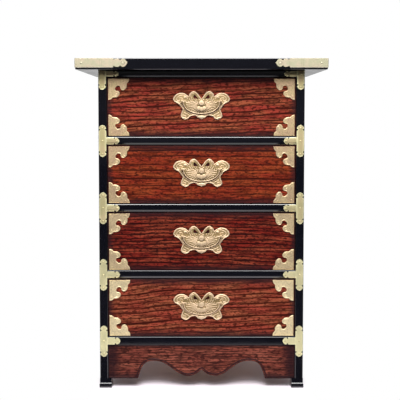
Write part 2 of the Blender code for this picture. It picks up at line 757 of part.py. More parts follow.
def make_drawer_front(n, wood, brass, parent):
    """The show front, with its raised brass corners, dados for the box and holes for the handle's studs."""
    floor = drawer_floor(n)
    half = POST_INNER - DRAWER_GAP
    low = Vector((-half, FRONT_FACE, floor + DRAWER_GAP))
    high = Vector((half, FRONT_REAR, floor + DRAWER_OPENING - DRAWER_GAP))
    shape = box_shape(low, high)
    round_edges(shape, lambda mid, e: mid.y < FRONT_FACE + GAP, FRONT_ROUND, segments=1)
    front = add_object(f"drawer_{n}_front", shape, wood, (low + high) / 2, parent)
    place = world_place(front)
    boards = drawer_boxes(n)
    dados = boxes_shape([grown(boards[b]) for b in ("side_left", "side_right")])
    combine(front, add_helper(f"drawer_{n}_front_dados", dados, wood, place, parent), "DIFFERENCE")
    groove = box_shape(*grown(boards["bottom"]))
    combine(front, add_helper(f"drawer_{n}_front_groove", groove, wood, place, parent), "DIFFERENCE")
    bores = bmesh.new()
    for side in (-1, 1):
        rod_shape(*stud_line(n, side, FRONT_FACE - GAP, FRONT_REAR + GAP), STUD_RADIUS + GAP, bores)
    combine(front, add_helper(f"drawer_{n}_front_bores", bores, wood, place, parent), "DIFFERENCE")
    plates = bmesh.new()
    for loop in front_corners(low, high):
        plate_shape([loop], FRONT_FACE + PLATE_SINK, FRONT_FACE - PLATE_PROUD, shape=plates)
    combine(front, add_helper(f"drawer_{n}_corner_plates", plates, brass, place, parent), "UNION")


def make_drawer_box(n, box_wood, parent):
    boards = drawer_boxes(n)
    made = {b: make_board(f"drawer_{n}_{b}", *boards[b], box_wood, parent) for b in boards}
    bottom = grown(boards["bottom"])
    back = grown(boards["back"])
    for b in ("side_left", "side_right"):
        groove = add_helper(f"drawer_{n}_{b}_groove", box_shape(*bottom), box_wood, world_place(made[b]), parent)
        combine(made[b], groove, "DIFFERENCE")
        dado = add_helper(f"drawer_{n}_{b}_dado", box_shape(*back), box_wood, world_place(made[b]), parent)
        combine(made[b], dado, "DIFFERENCE")
    slot = add_helper(f"drawer_{n}_back_groove", box_shape(*bottom), box_wood, world_place(made["back"]), parent)
    combine(made["back"], slot, "DIFFERENCE")


def make_handle(n, brass, parent):
    """The butterfly backplate: a pierced plate with two eyes in front and two riveted studs behind."""
    centre = Vector((0, HANDLE_FACE, pivot_height(n) - PIVOT_RISE))
    half = joined_runs([HANDLE_ANTENNA, HANDLE_WING, HANDLE_SIDE, HANDLE_CURL, HANDLE_TAIL])
    outline = mirrored_loop(half)
    hole = [(u * MM, v * MM) for u, v in ANTENNA_HOLE]
    loops = [outline, hole, [(-u, v) for u, v in hole]]
    loops = [[(u, centre.z + v) for u, v in loop] for loop in loops]
    shape = plate_shape(loops, HANDLE_FACE + HANDLE_THICKNESS, HANDLE_FACE)
    handle = add_object(f"drawer_{n}_handle_plate", shape, brass, centre, parent)
    level = pivot_height(n)
    root = HANDLE_FACE + HANDLE_THICKNESS / 2  # where eyes and studs start, inside the plate
    eyes, holes, studs, rivets = bmesh.new(), bmesh.new(), bmesh.new(), bmesh.new()
    for side in (-1, 1):
        inside, outside = side * EYE_INNER, side * (EYE_INNER + EYE_THICKNESS)
        plate_shape([eye_outline(level, root)], inside, outside, X, eyes)
        bore = [(side * x, PIVOT_Y, level) for x in (EYE_INNER - GAP, EYE_INNER + EYE_THICKNESS + GAP)]
        rod_shape(*bore, TRUNNION_RADIUS + PIN_CLEARANCE, holes)
        rod_shape(*stud_line(n, side, root, FRONT_REAR + GAP + RIVET_THICKNESS / 2), STUD_RADIUS, studs)
        rivet_line = stud_line(n, side, FRONT_REAR + GAP, FRONT_REAR + GAP + RIVET_THICKNESS)
        rod_shape(*rivet_line, RIVET_RADIUS, rivets)
    steps = (
        ("eyes", eyes, "UNION"),
        ("eye_holes", holes, "DIFFERENCE"),
        ("studs", studs, "UNION"),
        ("rivets", rivets, "UNION"),
    )
    for what, shape, operation in steps:
        helper = add_helper(f"drawer_{n}_handle_{what}", shape, brass, world_place(handle), parent)
        combine(handle, helper, operation)


def eye_outline(level, root):
    """An eye seen from the side: a tab out of the plate with a round nose about the pivot."""
    nose = []
    for i in range(ROUND_SIDES // 2 + 1):
        angle = math.pi * i / (ROUND_SIDES // 2)
        nose.append((PIVOT_Y - EYE_RADIUS * math.sin(angle), level + EYE_RADIUS * math.cos(angle)))
    return [(root, level + EYE_RADIUS), *nose, (root, level - EYE_RADIUS)]


def ball_shape(middle, radii, shape=None):
    shape = shape or bmesh.new()
    ball = bmesh.ops.create_uvsphere(shape, u_segments=ROUND_SIDES, v_segments=ROUND_SIDES // 2, radius=1)
    made = ball["verts"]
    bmesh.ops.scale(shape, vec=radii, verts=made)
    bmesh.ops.translate(shape, vec=middle, verts=made)
    return shape


def make_pull(n, brass, parent):
    """The swinging half-moon pull: a domed casting with the insect's body on it and a trunnion each side."""
    level = pivot_height(n)
    centre = level - PIVOT_RISE
    crown = centre + PULL_MIDDLE
    outline = mirrored_loop(joined_runs([PULL_SHOULDER, PULL_EDGE]))
    shape = plate_shape([[(u, centre + v) for u, v in outline]], PULL_BACK, PULL_BACK - PULL_RIM)
    front = [f for f in shape.faces if all(v.co.y < PULL_BACK - PULL_RIM / 2 for v in f.verts)]
    for share, rise in PULL_RINGS:
        front, ring = draw_out(shape, front)
        for vert in ring:
            vert.co.x *= share
            vert.co.z = crown + (vert.co.z - crown) * share
            vert.co.y -= rise * PULL_DOME
    pull = add_object(f"drawer_{n}_pull", shape, brass, (0, PIVOT_Y, level), parent)
    relief = PULL_BACK - PULL_RIM - BODY_RELIEF
    pins = bmesh.new()
    for side in (-1, 1):
        ends = (PULL_HALF_WIDTH - TRUNNION_ROOT, EYE_INNER + EYE_THICKNESS)
        rod_shape(*[(side * x, PIVOT_Y, level) for x in ends], TRUNNION_RADIUS, pins)
    body = ball_shape((0, relief, centre - BODY_DROP), (BODY_RADIUS, BODY_RADIUS, BODY_LENGTH))
    head = ball_shape((0, relief, centre + HEAD_RISE), (HEAD_RADIUS, HEAD_RADIUS, HEAD_RADIUS))
    for what, shape in (("trunnions", pins), ("body", body), ("head", head)):
        combine(pull, add_helper(f"drawer_{n}_pull_{what}", shape, brass, world_place(pull), parent), "UNION")


def make_drawer(n, wood, box_wood, brass):
    floor = drawer_floor(n)
    runner = add_empty(f"drawer_{n}_place", (0, FRONT_FACE, floor))
    make_drawer_front(n, wood, brass, runner)
    make_drawer_box(n, box_wood, runner)
    make_handle(n, brass, runner)
    swing = add_empty(f"drawer_{n}_pull_axis", (0, PIVOT_Y, pivot_height(n)), runner)
    make_pull(n, brass, swing)


def main():
    clear_scene()
    lacquer = make_material("black_lacquer", (0.012, 0.011, 0.014), 0.22)
    wood = make_material("red_brown_wood", (0.27, 0.06, 0.025), 0.3)
    box_wood = make_material("pale_drawer_wood", (0.55, 0.4, 0.25), 0.55)
    brass = make_material("brass", (0.72, 0.56, 0.3), 0.3, metallic=1.0)
    sides = {"left": -1, "right": 1}
    ends = {"front": -1, "back": 1}
    for end_name, end in ends.items():
        for side_name, side in sides.items():
            post = make_post(f"post_{end_name}_{side_name}", side, end, lacquer)
            if end < 0:
                add_straps(post, side, brass)
            make_foot(f"foot_{end_name}_{side_name}", side, end, lacquer)
            make_corner_strap(f"top_corner_{end_name}_{side_name}", side, end, brass)
    for name, span in front_levels().items():
        make_front_rail(name, span, lacquer)
    for side_name, side in sides.items():
        for level, span in side_levels().items():
            make_side_rail(f"side_{level}_rail_{side_name}", span, side, lacquer)
        make_side_panel(f"side_panel_{side_name}", side, wood)
        make_side_apron(f"side_apron_{side_name}", side, wood)
    make_front_apron(wood)
    make_board("back_panel", *back_panel_box(), wood)
    make_top_board(lacquer)
    for n in range(1, DRAWER_COUNT + 1):
        make_board(f"shelf_{n}", *shelf_box(n), box_wood)
        make_drawer(n, wood, box_wood, brass)


main()
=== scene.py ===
# %% [markdown]
# # A telephone stand in black lacquer, reddish wood and brass
#
# The real stand is a small chest of four drawers, made in the Korean manner: a black lacquered frame,
# drawer fronts of an open-pored red-brown wood, and pale brass on every corner. Its joints and sizes come
# from a CAD model, which is loaded first and stays fixed. This lesson dresses that model: it sets up the
# camera and the light, mixes the finishes, and then makes the pieces that the eye meets, from the top
# board to the nails.

import json
import math

import bmesh
import bpy
from mathutils import Matrix, Vector
from mathutils.bvhtree import BVHTree
from mathutils.geometry import interpolate_bezier


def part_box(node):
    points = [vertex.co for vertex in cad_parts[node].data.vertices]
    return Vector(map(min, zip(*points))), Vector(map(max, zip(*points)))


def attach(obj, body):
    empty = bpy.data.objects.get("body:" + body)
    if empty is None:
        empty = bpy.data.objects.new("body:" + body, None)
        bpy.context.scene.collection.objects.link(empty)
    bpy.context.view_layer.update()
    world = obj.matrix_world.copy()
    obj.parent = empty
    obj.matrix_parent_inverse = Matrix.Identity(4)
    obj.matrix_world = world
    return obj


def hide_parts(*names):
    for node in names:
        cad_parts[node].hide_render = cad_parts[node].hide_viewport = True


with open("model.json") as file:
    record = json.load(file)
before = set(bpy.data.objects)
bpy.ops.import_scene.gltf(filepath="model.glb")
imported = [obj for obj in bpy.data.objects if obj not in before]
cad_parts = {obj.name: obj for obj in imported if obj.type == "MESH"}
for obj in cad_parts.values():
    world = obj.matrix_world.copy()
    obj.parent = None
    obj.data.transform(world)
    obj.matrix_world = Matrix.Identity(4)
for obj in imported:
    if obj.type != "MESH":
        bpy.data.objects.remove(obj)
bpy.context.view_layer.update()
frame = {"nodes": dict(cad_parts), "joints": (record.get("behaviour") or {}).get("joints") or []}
MM = 0.001
DRAWERS = (1, 2, 3, 4)  # from the top down
SIDES = {"left": -1, "right": 1}
ENDS = {"front": -1, "back": 1}


def add_object(name, data):
    """Puts a new object into the scene."""
    made = bpy.data.objects.new(name, data)
    bpy.context.scene.collection.objects.link(made)
    return made


# %% [markdown]
# ## Camera
#
# The photograph was taken from straight in front, a little under the height of the top, so that the
# underside of the overhang just shows. A long lens from nearly two metres keeps the posts almost
# parallel. The camera leans down a little and the lens is shifted for the rest, which is how a product
# photographer frames furniture.

# %% Camera
CAMERA_PLACE = (-0.0027, -1.852, 0.5003)
CAMERA_LEAN = math.radians(3.826)

lens = bpy.data.cameras.new("camera")
lens.lens = 85.25
lens.sensor_width = 36
lens.shift_y = -0.055
camera = add_object("camera", lens)
camera.location = CAMERA_PLACE
camera.rotation_euler = (math.pi / 2 - CAMERA_LEAN, 0, 0)
bpy.context.scene.camera = camera
bpy.context.scene.view_settings.view_transform = "Standard"
print("camera at", CAMERA_PLACE)

# %% [markdown]
# ## Small tools for shader nodes
#
# Materials here are networks of nodes, and adding each node by hand makes long code. So what a node puts
# out is wrapped as a value that can be reckoned with like a number: the sum of two values adds an Add
# node to their tree. A few helpers place the other nodes. They hold no look of their own.


# %% Values in a node tree
class Value:
    """What a node puts out. Reckoning with it adds Math nodes to its tree."""

    def __init__(self, socket):
        self.socket = socket
        self.tree = socket.id_data

    def reckon(self, operation, *others):
        inputs = dict(enumerate((self, *others)))
        return put(self.tree, "ShaderNodeMath", inputs, operation=operation)[0]

    def __add__(self, other):
        return self.reckon("ADD", other)

    def __sub__(self, other):
        return self.reckon("SUBTRACT", other)

    def __mul__(self, other):
        return self.reckon("MULTIPLY", other)

    def __truediv__(self, other):
        return self.reckon("DIVIDE", other)

    def __pow__(self, other):
        return self.reckon("POWER", other)

    def __abs__(self):
        return self.reckon("ABSOLUTE")

    def at_least(self, other):
        return self.reckon("MAXIMUM", other)


def feed(node, inputs):
    """Gives a node's inputs links or fixed values. A fixed colour is three numbers."""
    for name, value in inputs.items():
        socket = node.inputs[name]
        if isinstance(value, Value):
            node.id_data.links.new(value.socket, socket)
        else:
            socket.default_value = (*value, 1) if socket.type == "RGBA" else value


def put(tree, kind, inputs=None, **options):
    """Adds a node with its options and inputs. Gives back what comes out of it, by number and by name."""
    node = tree.nodes.new(kind)
    for option, value in options.items():
        setattr(node, option, value)
    feed(node, inputs or {})
    values = [Value(socket) for socket in node.outputs]
    return dict(enumerate(values)) | {value.socket.name: value for value in values}


print("helpers: Value, feed, put")


# %% Colours, places and noise
def soft_step(value, start, end, before=0.0, after=1.0):
    """Goes smoothly from one value to another while the input goes from start to end."""
    inputs = {"Value": value, "From Min": start, "From Max": end, "To Min": before, "To Max": after}
    return put(value.tree, "ShaderNodeMapRange", inputs, interpolation_type="SMOOTHSTEP")[0]


def blend(share, first, second):
    """A mix of two colours."""
    return put(share.tree, "ShaderNodeMix", {0: share, 6: first, 7: second}, data_type="RGBA")[2]


def split(place):
    """The three parts of a vector."""
    parts = put(place.tree, "ShaderNodeSeparateXYZ", {0: place})
    return parts["X"], parts["Y"], parts["Z"]


def combined(x, y, z):
    """A vector from its three parts."""
    return put(x.tree, "ShaderNodeCombineXYZ", {"X": x, "Y": y, "Z": z})[0]


def distance(x, y):
    """The length of a line with these two parts."""
    return (x * x + y * y) ** 0.5


def noise(place, stretch, detail=2.0, roughness=0.5):
    """Noise at a place that is first multiplied, which scales the pattern or stretches it."""
    place = put(place.tree, "ShaderNodeVectorMath", {0: place, 1: stretch}, operation="MULTIPLY")[0]
    inputs = {"Vector": place, "Scale": 1.0, "Detail": detail, "Roughness": roughness}
    return put(place.tree, "ShaderNodeTexNoise", inputs)["Fac"]


def bumped(height, strength, depth):
    """A surface direction that is tilted by a height."""
    return put(height.tree, "ShaderNodeBump", {"Height": height, "Strength": strength, "Distance": depth})[0]


def millimetres(tree):
    """Object coordinates in millimetres."""
    inputs = {"Vector": put(tree, "ShaderNodeTexCoord")["Object"], "Scale": (1 / MM, 1 / MM, 1 / MM)}
    return put(tree, "ShaderNodeMapping", inputs)[0]


print("helpers: soft_step, blend, split, combined, distance, noise, bumped, millimetres")


# %% Groups and finishes
def new_group(name, inputs, outputs):
    """An empty node group: its tree, the values it is given, and the node that takes its results."""
    tree = bpy.data.node_groups.new(name, "ShaderNodeTree")
    for way, sockets in (("INPUT", inputs), ("OUTPUT", outputs)):
        for label, kind in sockets.items():
            tree.interface.new_socket(name=label, in_out=way, socket_type=f"NodeSocket{kind}")
    return tree, put(tree, "NodeGroupInput"), tree.nodes.new("NodeGroupOutput")


def new_finish(name):
    """A material, its node tree and its Principled shader."""
    finish = bpy.data.materials.new(name)
    finish.use_nodes = True
    return finish, finish.node_tree, finish.node_tree.nodes["Principled BSDF"]


print("helpers: new_group, new_finish")

# %% [markdown]
# ## Floor, backdrop and light
#
# A product photograph on white has no corner where floor meets wall. A studio gets that with a curved
# sheet and much light on it. Here the floor is one wide flat sheet that takes the stand's shadow close by
# and turns to plain white further off, and the world behind it is white, so no more light falls on the
# stand than it needs. Metal and lacquer see that sheet too, so what lies in front of the stand decides
# how they look. White paper near the stand brightens the brass and draws a soft line under each rail.
# Beyond its end, and on a black flag before each post, the floor is black, which is what flat lacquer
# mirrors when it looks black. The camera doesn't see them. A wide soft lamp over the front draws the
# bright lines along the upper edges, and a weak one fills in from the camera.

# %% Floor
PAPER_WHITE = (0.95, 0.86, 0.93)
PAPER_END = -0.488  # front edge of the white paper before the stand
PAPER_FADE = 0.1
FLAG_BLACK = (0.01, 0.01, 0.012)
FLAG_MIDDLE = 0.166  # from the middle of the floor to that of a flag, if it reached the depth of 0
FLAG_SPREAD = -0.105  # what each metre of depth adds to that
FLAG_HALF = 0.022
FLAG_FADE = 0.012
FLAG_END = (-0.158, -0.148)  # depths between which the flags end, just before the feet
SHADOW_REACH = (0.18, 0.36)  # distances between which the shadow gives way to white
SHADOW_ASIDE = (0.178, 0.2)  # the same to the sides


def rays(tree):
    """Whether a ray comes from the camera, and whether it comes off something shiny."""
    kinds = put(tree, "ShaderNodeLightPath")
    return kinds["Is Camera Ray"], kinds["Is Glossy Ray"].at_least(kinds["Is Transmission Ray"])


def make_floor():
    """A sheet that takes the shadow near the stand and is plain white further off."""
    shape = bmesh.new()
    bmesh.ops.create_grid(shape, x_segments=2, y_segments=2, size=8)
    mesh = bpy.data.meshes.new("studio_floor")
    shape.to_mesh(mesh)
    shape.free()
    finish, tree, shader = new_finish("studio_floor")
    aside, depth, _ = split(put(tree, "ShaderNodeTexCoord")["Object"])
    from_flag = abs(abs(aside) - (depth * FLAG_SPREAD + FLAG_MIDDLE))
    flags = soft_step(from_flag, FLAG_HALF, FLAG_HALF + FLAG_FADE)
    flags = flags.at_least(soft_step(depth, *FLAG_END))
    paper = flags * soft_step(depth, PAPER_END, PAPER_END + PAPER_FADE)
    by_camera, by_mirror = rays(tree)
    colour = blend(by_camera.at_least(paper), FLAG_BLACK, PAPER_WHITE)
    feed(shader, {"Base Color": colour, "Roughness": 0.9, "Specular IOR Level": 0.1})
    far = soft_step(distance(aside, depth), *SHADOW_REACH).at_least(soft_step(abs(aside), *SHADOW_ASIDE))
    share = far * by_camera.at_least(by_mirror * paper)
    white = put(tree, "ShaderNodeEmission", {"Color": (1, 1, 1), "Strength": 1.0})[0]
    mixed = put(tree, "ShaderNodeMixShader", {0: share, 1: Value(shader.outputs[0]), 2: white})[0]
    feed(tree.nodes["Material Output"], {"Surface": mixed})
    mesh.materials.append(finish)
    floor = add_object("studio_floor", mesh)
    return floor


print("floor:", make_floor().name)

# %% World and lamps
ROOM_COLOUR = (0.97, 0.98, 1)
ROOM_LIGHT = (0.06, 0.45)  # strength at the horizon and overhead
BACKDROP_EDGE = (-0.45, 0.2)  # between these directions the room turns into the white backdrop
BACKDROP_LIGHT = 0.8


def make_world():
    """White behind the stand, and a dim room in front of it that only lights it."""
    world = bpy.data.worlds.new("studio")
    world.use_nodes = True
    tree = world.node_tree
    _, depth, height = split(put(tree, "ShaderNodeTexCoord")["Generated"])
    behind = soft_step(depth, *BACKDROP_EDGE)
    light = soft_step(height, 0.0, 0.8, *ROOM_LIGHT).at_least(behind * BACKDROP_LIGHT)
    room = put(tree, "ShaderNodeBackground", {"Color": ROOM_COLOUR, "Strength": light})[0]
    white = put(tree, "ShaderNodeBackground", {"Color": (1, 1, 1), "Strength": 1.0})[0]
    by_camera, by_mirror = rays(tree)
    share = by_camera.at_least(by_mirror * behind)
    mixed = put(tree, "ShaderNodeMixShader", {0: share, 1: room, 2: white})[0]
    feed(tree.nodes["World Output"], {"Surface": mixed})
    bpy.context.scene.world = world


def add_lamp(name, place, target, size, power):
    """A rectangular lamp at a place, turned to a target."""
    lamp = bpy.data.lights.new(name, "AREA")
    lamp.shape = "RECTANGLE"
    lamp.size, lamp.size_y = size
    lamp.energy = power
    holder = add_object(name, lamp)
    holder.location = place
    aim = Vector(target) - Vector(place)
    holder.rotation_euler = aim.to_track_quat("-Z", "Y").to_euler()


make_world()
add_lamp("lamp_above", place=(-0.03, -1.25, 1.8), target=(0, -0.15, 0.35), size=(1.0, 1.1), power=56)
add_lamp("lamp_front", place=(0.0, -2.0, 1.25), target=(0, -0.15, 0.3), size=(1.4, 0.4), power=7)
print("world:", bpy.context.scene.world.name, "lamps:", len(bpy.data.lights))

# %% [markdown]
# ## Wood
#
# The fronts are a ring-porous wood: each year's growth starts with a row of wide pores, which the dark
# stain fills, and ends in smooth, redder wood. So the figure has three scales: rings a centimetre apart
# that wander along the board, short dark pores that crowd at the start of each ring, and broad patches of
# warmer colour. A wave texture would give only the first, so the rings come from a bent coordinate
# instead, and the same coordinate steers the pores. It is built once as a group, and each board has its
# own values.


# %% Grain group
def make_grain_group():
    """Open-pored grain, at a place whose parts run along a board, through it and across it."""
    numbers = ("Ring width", "Wander", "Bow", "Contrast", "Pores")
    inputs = {"Place": "Vector"} | dict.fromkeys(numbers, "Float")
    inputs |= dict.fromkeys(("Ground", "Flame", "Vein"), "Color")
    tree, given, result = new_group("open_pored_grain", inputs, {"Colour": "Color", "Height": "Float"})
    place, vein = given["Place"], given["Vein"]
    along, depth, across = split(place)
    # Rings lie across the board. They wander, bow along it and lean through its thickness.
    drift = (noise(place, (0.0065, 0.01, 0.02), detail=1.5) - 0.5) * given["Wander"]
    arch = abs(along * 0.01) ** 2 * given["Bow"]
    bent = across + drift + arch + depth * 0.35
    bent_place = combined(along, depth, bent)
    rings = bent / given["Ring width"] + noise(bent_place, (0, 0, 0.045), detail=1) * 2.4
    # Each ring starts dark, some darker than others, and the dark breaks up along it.
    phase = rings.reckon("FRACT")
    number = rings.reckon("FLOOR")
    chance = put(tree, "ShaderNodeTexWhiteNoise", {"W": number}, noise_dimensions="1D")["Value"]
    early = soft_step(phase, 0.08, 0.26, 1.0, 0.0).at_least(soft_step(phase, 0.1, 0.45, 0.25, 0.0))
    early = early.at_least(soft_step(phase, 0.96, 1.0)) * (chance * 0.9 + 0.35) * given["Contrast"]
    early = early * soft_step(noise(place, (0.012, 0.05, 0.12), detail=1), 0.3, 0.5, 0.5, 1.0)
    # Pores are short dashes along the ring, and more of them where it starts.
    dashes = noise(bent_place, (0.11, 0.7, 0.36), detail=1.5, roughness=0.6)
    level = early * -0.14 + 0.55
    pores = soft_step(dashes, level, level + 0.07)
    # Between them the wood has warmer patches, fine fibres and a speckle.
    fibre = noise(bent_place, (0.025, 0.8, 0.33), detail=3, roughness=0.6)
    patch = noise(place, (0.018, 0.03, 0.085))
    speckle = noise(place, (0.17, 0.4, 0.36), detail=1)
    wood = blend(soft_step(patch, 0.36, 0.64), given["Ground"], given["Flame"])
    wood = blend(soft_step(fibre, 0.57, 0.4, 0.0, 0.7), wood, vein)
    wood = blend(soft_step(speckle, 0.5, 0.36, 0.0, 0.5), wood, vein)
    dark = early.at_least(pores * given["Pores"]).reckon("MINIMUM", 0.95)
    feed(result, {"Colour": blend(dark, wood, vein), "Height": fibre * 0.35 + dark * -0.8})
    return tree


GRAIN = make_grain_group()
print("group:", GRAIN.name)

# %% [markdown]
# Boards that are framed in black often have their edges misted with dark lacquer, so that they seem to
# glow in the middle. A painted mask could show that, but it would fit one board only. So a second group
# measures how near a point lies to the edges of its board and puts out a mask, with a little noise so
# that the spray isn't a ruled line.


# %% Sprayed edge group
def make_spray_group():
    """A mask that is 1 at the edges of a board and fades inwards."""
    inputs = {"Place": "Vector", "Middle": "Vector", "Half size": "Vector", "Fade": "Float"}
    tree, given, result = new_group("sprayed_edge", inputs, {"Mask": "Float"})
    along, _, across = split(given["Place"])
    middle_along, _, middle_across = split(given["Middle"])
    half_length, _, half_width = split(given["Half size"])
    near_end = half_length - abs(along - middle_along)
    near_edge = half_width - abs(across - middle_across)
    cloud = noise(given["Place"], (0.03, 0.03, 0.06))
    nearest = near_end.reckon("SMOOTH_MIN", near_edge, 6.0) + (cloud - 0.5) * 7.0
    feed(result, {"Mask": soft_step(nearest, 0.0, given["Fade"], 1.0, 0.0)})
    return tree


SPRAY = make_spray_group()
print("group:", SPRAY.name)

# %% [markdown]
# A wood finish puts the two groups together under clear lacquer. Boards are cut with the grain along
# their length, so the coordinates are put in the order length, thickness, width before they reach the
# grain.

# %% Wood finishes
RED_GROUND = (0.300, 0.038, 0.025)
RED_FLAME = (0.308, 0.076, 0.034)
RED_VEIN = (0.030, 0.004, 0.002)
SPRAY_COLOUR = (0.020, 0.008, 0.010)
SPRAY_STRENGTH = 0.86
# How dark the painted shade is that stands for the shadow seen through a butterfly's pierced holes.
HOLE_SHADE_STRENGTH = 0.72


def ridge_mark(tree):
    """The mark that a vertex carries: 1 on what stands up, less than 0 in a groove."""
    return put(tree, "ShaderNodeAttribute", attribute_name="ridge")["Fac"]


def grooved(colour, dark):
    """A colour that turns dark where the mark is less than 0."""
    return blend(soft_step(ridge_mark(colour.tree), -0.1, -1.0, 0.0, 0.9), colour, dark)


def make_wood(name, order, colours, ring, wander, shift=(0, 0, 0), tilt=0.0,
              bow=0.0, contrast=1.0, pores=0.8, spray=None, hole_shade=None):
    """Open-pored wood, in millimetres.

    Order names the axes along a board's length, thickness and width. The colours are those of its ground,
    flame and veins. Spray is the middle, half size and fade of the dark mist round a board. Hole shade is
    the height of a pair of painted shade spots, where the holes of a plate look into shadow, how far each
    lies from the middle, and their radius.
    """
    finish, tree, shader = new_finish(name)
    place = millimetres(tree)
    axes = dict(zip("XYZ", split(place)))
    ordered = combined(*(axes[axis] for axis in order))
    moves = {"Vector": ordered, "Location": shift, "Rotation": (0, tilt, 0)}
    turned = put(tree, "ShaderNodeMapping", moves)[0]
    values = {"Place": turned, "Ring width": ring, "Wander": wander, "Bow": bow, "Contrast": contrast}
    values |= {"Pores": pores} | dict(zip(("Ground", "Flame", "Vein"), colours))
    grain = put(tree, "ShaderNodeGroup", values, node_tree=GRAIN)
    colour, height = grain["Colour"], grain["Height"]
    if spray:
        values = {"Place": place} | dict(zip(("Middle", "Half size", "Fade"), spray))
        mist = put(tree, "ShaderNodeGroup", values, node_tree=SPRAY)["Mask"]
        colour = blend(mist * SPRAY_STRENGTH, colour, SPRAY_COLOUR)
    colour = grooved(colour, SPRAY_COLOUR)
    # Painted shade: two dark spots on the wood behind the butterfly's pierced holes, where the holes look
    # into shadow.
    if hole_shade:
        shade_height, shade_aside, radius = hole_shade
        away = distance(abs(axes["X"]) - shade_aside, axes["Z"] - shade_height)
        hole_shade_spots = soft_step(away, 0.8 * radius, radius, HOLE_SHADE_STRENGTH, 0.0)
        colour = blend(hole_shade_spots, colour, SPRAY_COLOUR)
    rough = soft_step(height, -0.6, 0.3, 0.55, 0.34)
    feed(shader, {"Base Color": colour, "Roughness": rough, "Normal": bumped(height, 0.5, 0.6 * MM)})
    feed(shader, {"Specular IOR Level": 0.05})
    return finish


print("helpers: ridge_mark, grooved, make_wood")

# %% [markdown]
# ## Lacquer and brass
#
# Both finishes are smooth, but neither is even: lacquer has a faint ripple and smudges, and brass sheet
# varies in tone where it was rubbed and where it has dulled. Pictures of smudges could be laid on, but
# they would have to be stretched over each piece, while noise has the same size everywhere. One group
# makes broad and fine mottling for both. Most of the frame is polished. The lowest rail, which shoes
# touch, is worn, and the underside of the top was left dull.


# %% Mottle group and lacquer
def make_mottle_group():
    """Broad mottling of a size in millimetres, and a ninth of it for the fine."""
    inputs = {"Place": "Vector", "Size": "Float"}
    tree, given, result = new_group("mottle", inputs, {"Broad": "Float", "Fine": "Float"})
    scale = given["Size"] ** -1
    broad = noise(given["Place"], scale, detail=3, roughness=0.55)
    feed(result, {"Broad": broad, "Fine": noise(given["Place"], scale * 9.0)})
    return tree


MOTTLE = make_mottle_group()
LACQUER_DARK = (0.0022, 0.0022, 0.0040)
LACQUER_LIGHT = (0.0044, 0.0045, 0.0080)


def mottling(tree, size):
    """Broad and fine mottling of a size in millimetres."""
    values = put(tree, "ShaderNodeGroup", {"Place": millimetres(tree), "Size": size}, node_tree=MOTTLE)
    return values["Broad"], values["Fine"]


def make_lacquer(name, rough_low, rough_high, gloss):
    """Black lacquer with smudges that change its roughness."""
    finish, tree, shader = new_finish(name)
    broad, fine = mottling(tree, 22.0)
    colour = blend(broad, LACQUER_DARK, LACQUER_LIGHT)
    rough = soft_step(broad, 0.3, 0.75, rough_low, rough_high)
    feed(shader, {"Base Color": colour, "Roughness": rough, "Normal": bumped(fine, 0.06, 0.4 * MM)})
    feed(shader, {"IOR": 1.54, "Specular IOR Level": gloss})
    return finish


LACQUER = make_lacquer("black_lacquer_polished", 0.03, 0.07, 0.9)
WORN_LACQUER = make_lacquer("black_lacquer_worn", 0.05, 0.1, 0.45)
DULL_LACQUER = make_lacquer("black_lacquer_dull", 0.26, 0.36, 0.7)
print("lacquer:", LACQUER.name, WORN_LACQUER.name, DULL_LACQUER.name)

# %% [markdown]
# Cast and chased brass keeps dark polish in its hollows while the high places are rubbed bright. Each
# vertex carries a mark for that, an attribute named ridge: 1 on what stands up, such as rims and veins, 0
# on the plate, and less than 0 in a groove. The finish reads it, so no slow search for crevices is
# needed. Straps and plates get a finish for each level with painted light: those low down are painted
# brighter, for the light the white floor throws up at them, and those under the top darker, for its shade.

# %% Brass finishes
# Tones of the field, of the field where it has dulled, and of ridges.
STRAP_TONES = ((0.60, 0.52, 0.26), (0.58, 0.45, 0.26), (0.98, 0.92, 0.55))
PLATE_TONES = ((0.65, 0.455, 0.28), (0.62, 0.48, 0.265), (0.97, 0.81, 0.50))
PALE_TONES = ((0.60, 0.51, 0.37), (0.49, 0.47, 0.32), (0.80, 0.74, 0.60))
CHASED_TONES = ((0.47, 0.34, 0.165), (0.35, 0.25, 0.12), (0.84, 0.65, 0.45))
BRASS_GROOVE = (0.09, 0.05, 0.025)
# Painted light by level: how far each level's field is painted up towards the bright tone of the ridges.
STRAP_PAINTED_LIGHT = (0.0, 0.1, 0.25, 0.75, 0.9)  # from the top down
PLATE_PAINTED_LIGHT = (0.0, 0.05, 0.35, 0.95)


def make_brass(name, tones, punched, painted_light=0.0, smoothest=0.46):
    """Brass with bright ridges.

    Punched is how dark the small punch marks are that roughen the ground of chased work. Painted light is
    the share by which the field is painted up towards the tone of the ridges, to stand for more light on it.
    Smoothest is the least roughness.
    """
    finish, tree, shader = new_finish(name)
    high = Vector(tones[2])
    field, dull = (Vector(tone).lerp(high, painted_light) for tone in tones[:2])
    broad, fine = mottling(tree, 14.0)
    ridge = ridge_mark(tree)
    ground = blend(soft_step(broad, 0.36, 0.66), field, dull)
    colour = blend(ridge * soft_step(fine, 0.3, 0.6, 0.8, 1.0), ground, high)
    punches = soft_step(fine, 0.5, 0.68, 0.0, punched) * soft_step(ridge, 0.8, 0.2)
    colour = grooved(blend(punches, colour, BRASS_GROOVE), BRASS_GROOVE)
    rough = soft_step(broad, 0.3, 0.75, smoothest, smoothest + 0.12)
    feed(shader, {"Base Color": colour, "Roughness": rough, "Normal": bumped(fine, 0.15, 0.4 * MM)})
    feed(shader, {"Metallic": 0.8})
    return finish


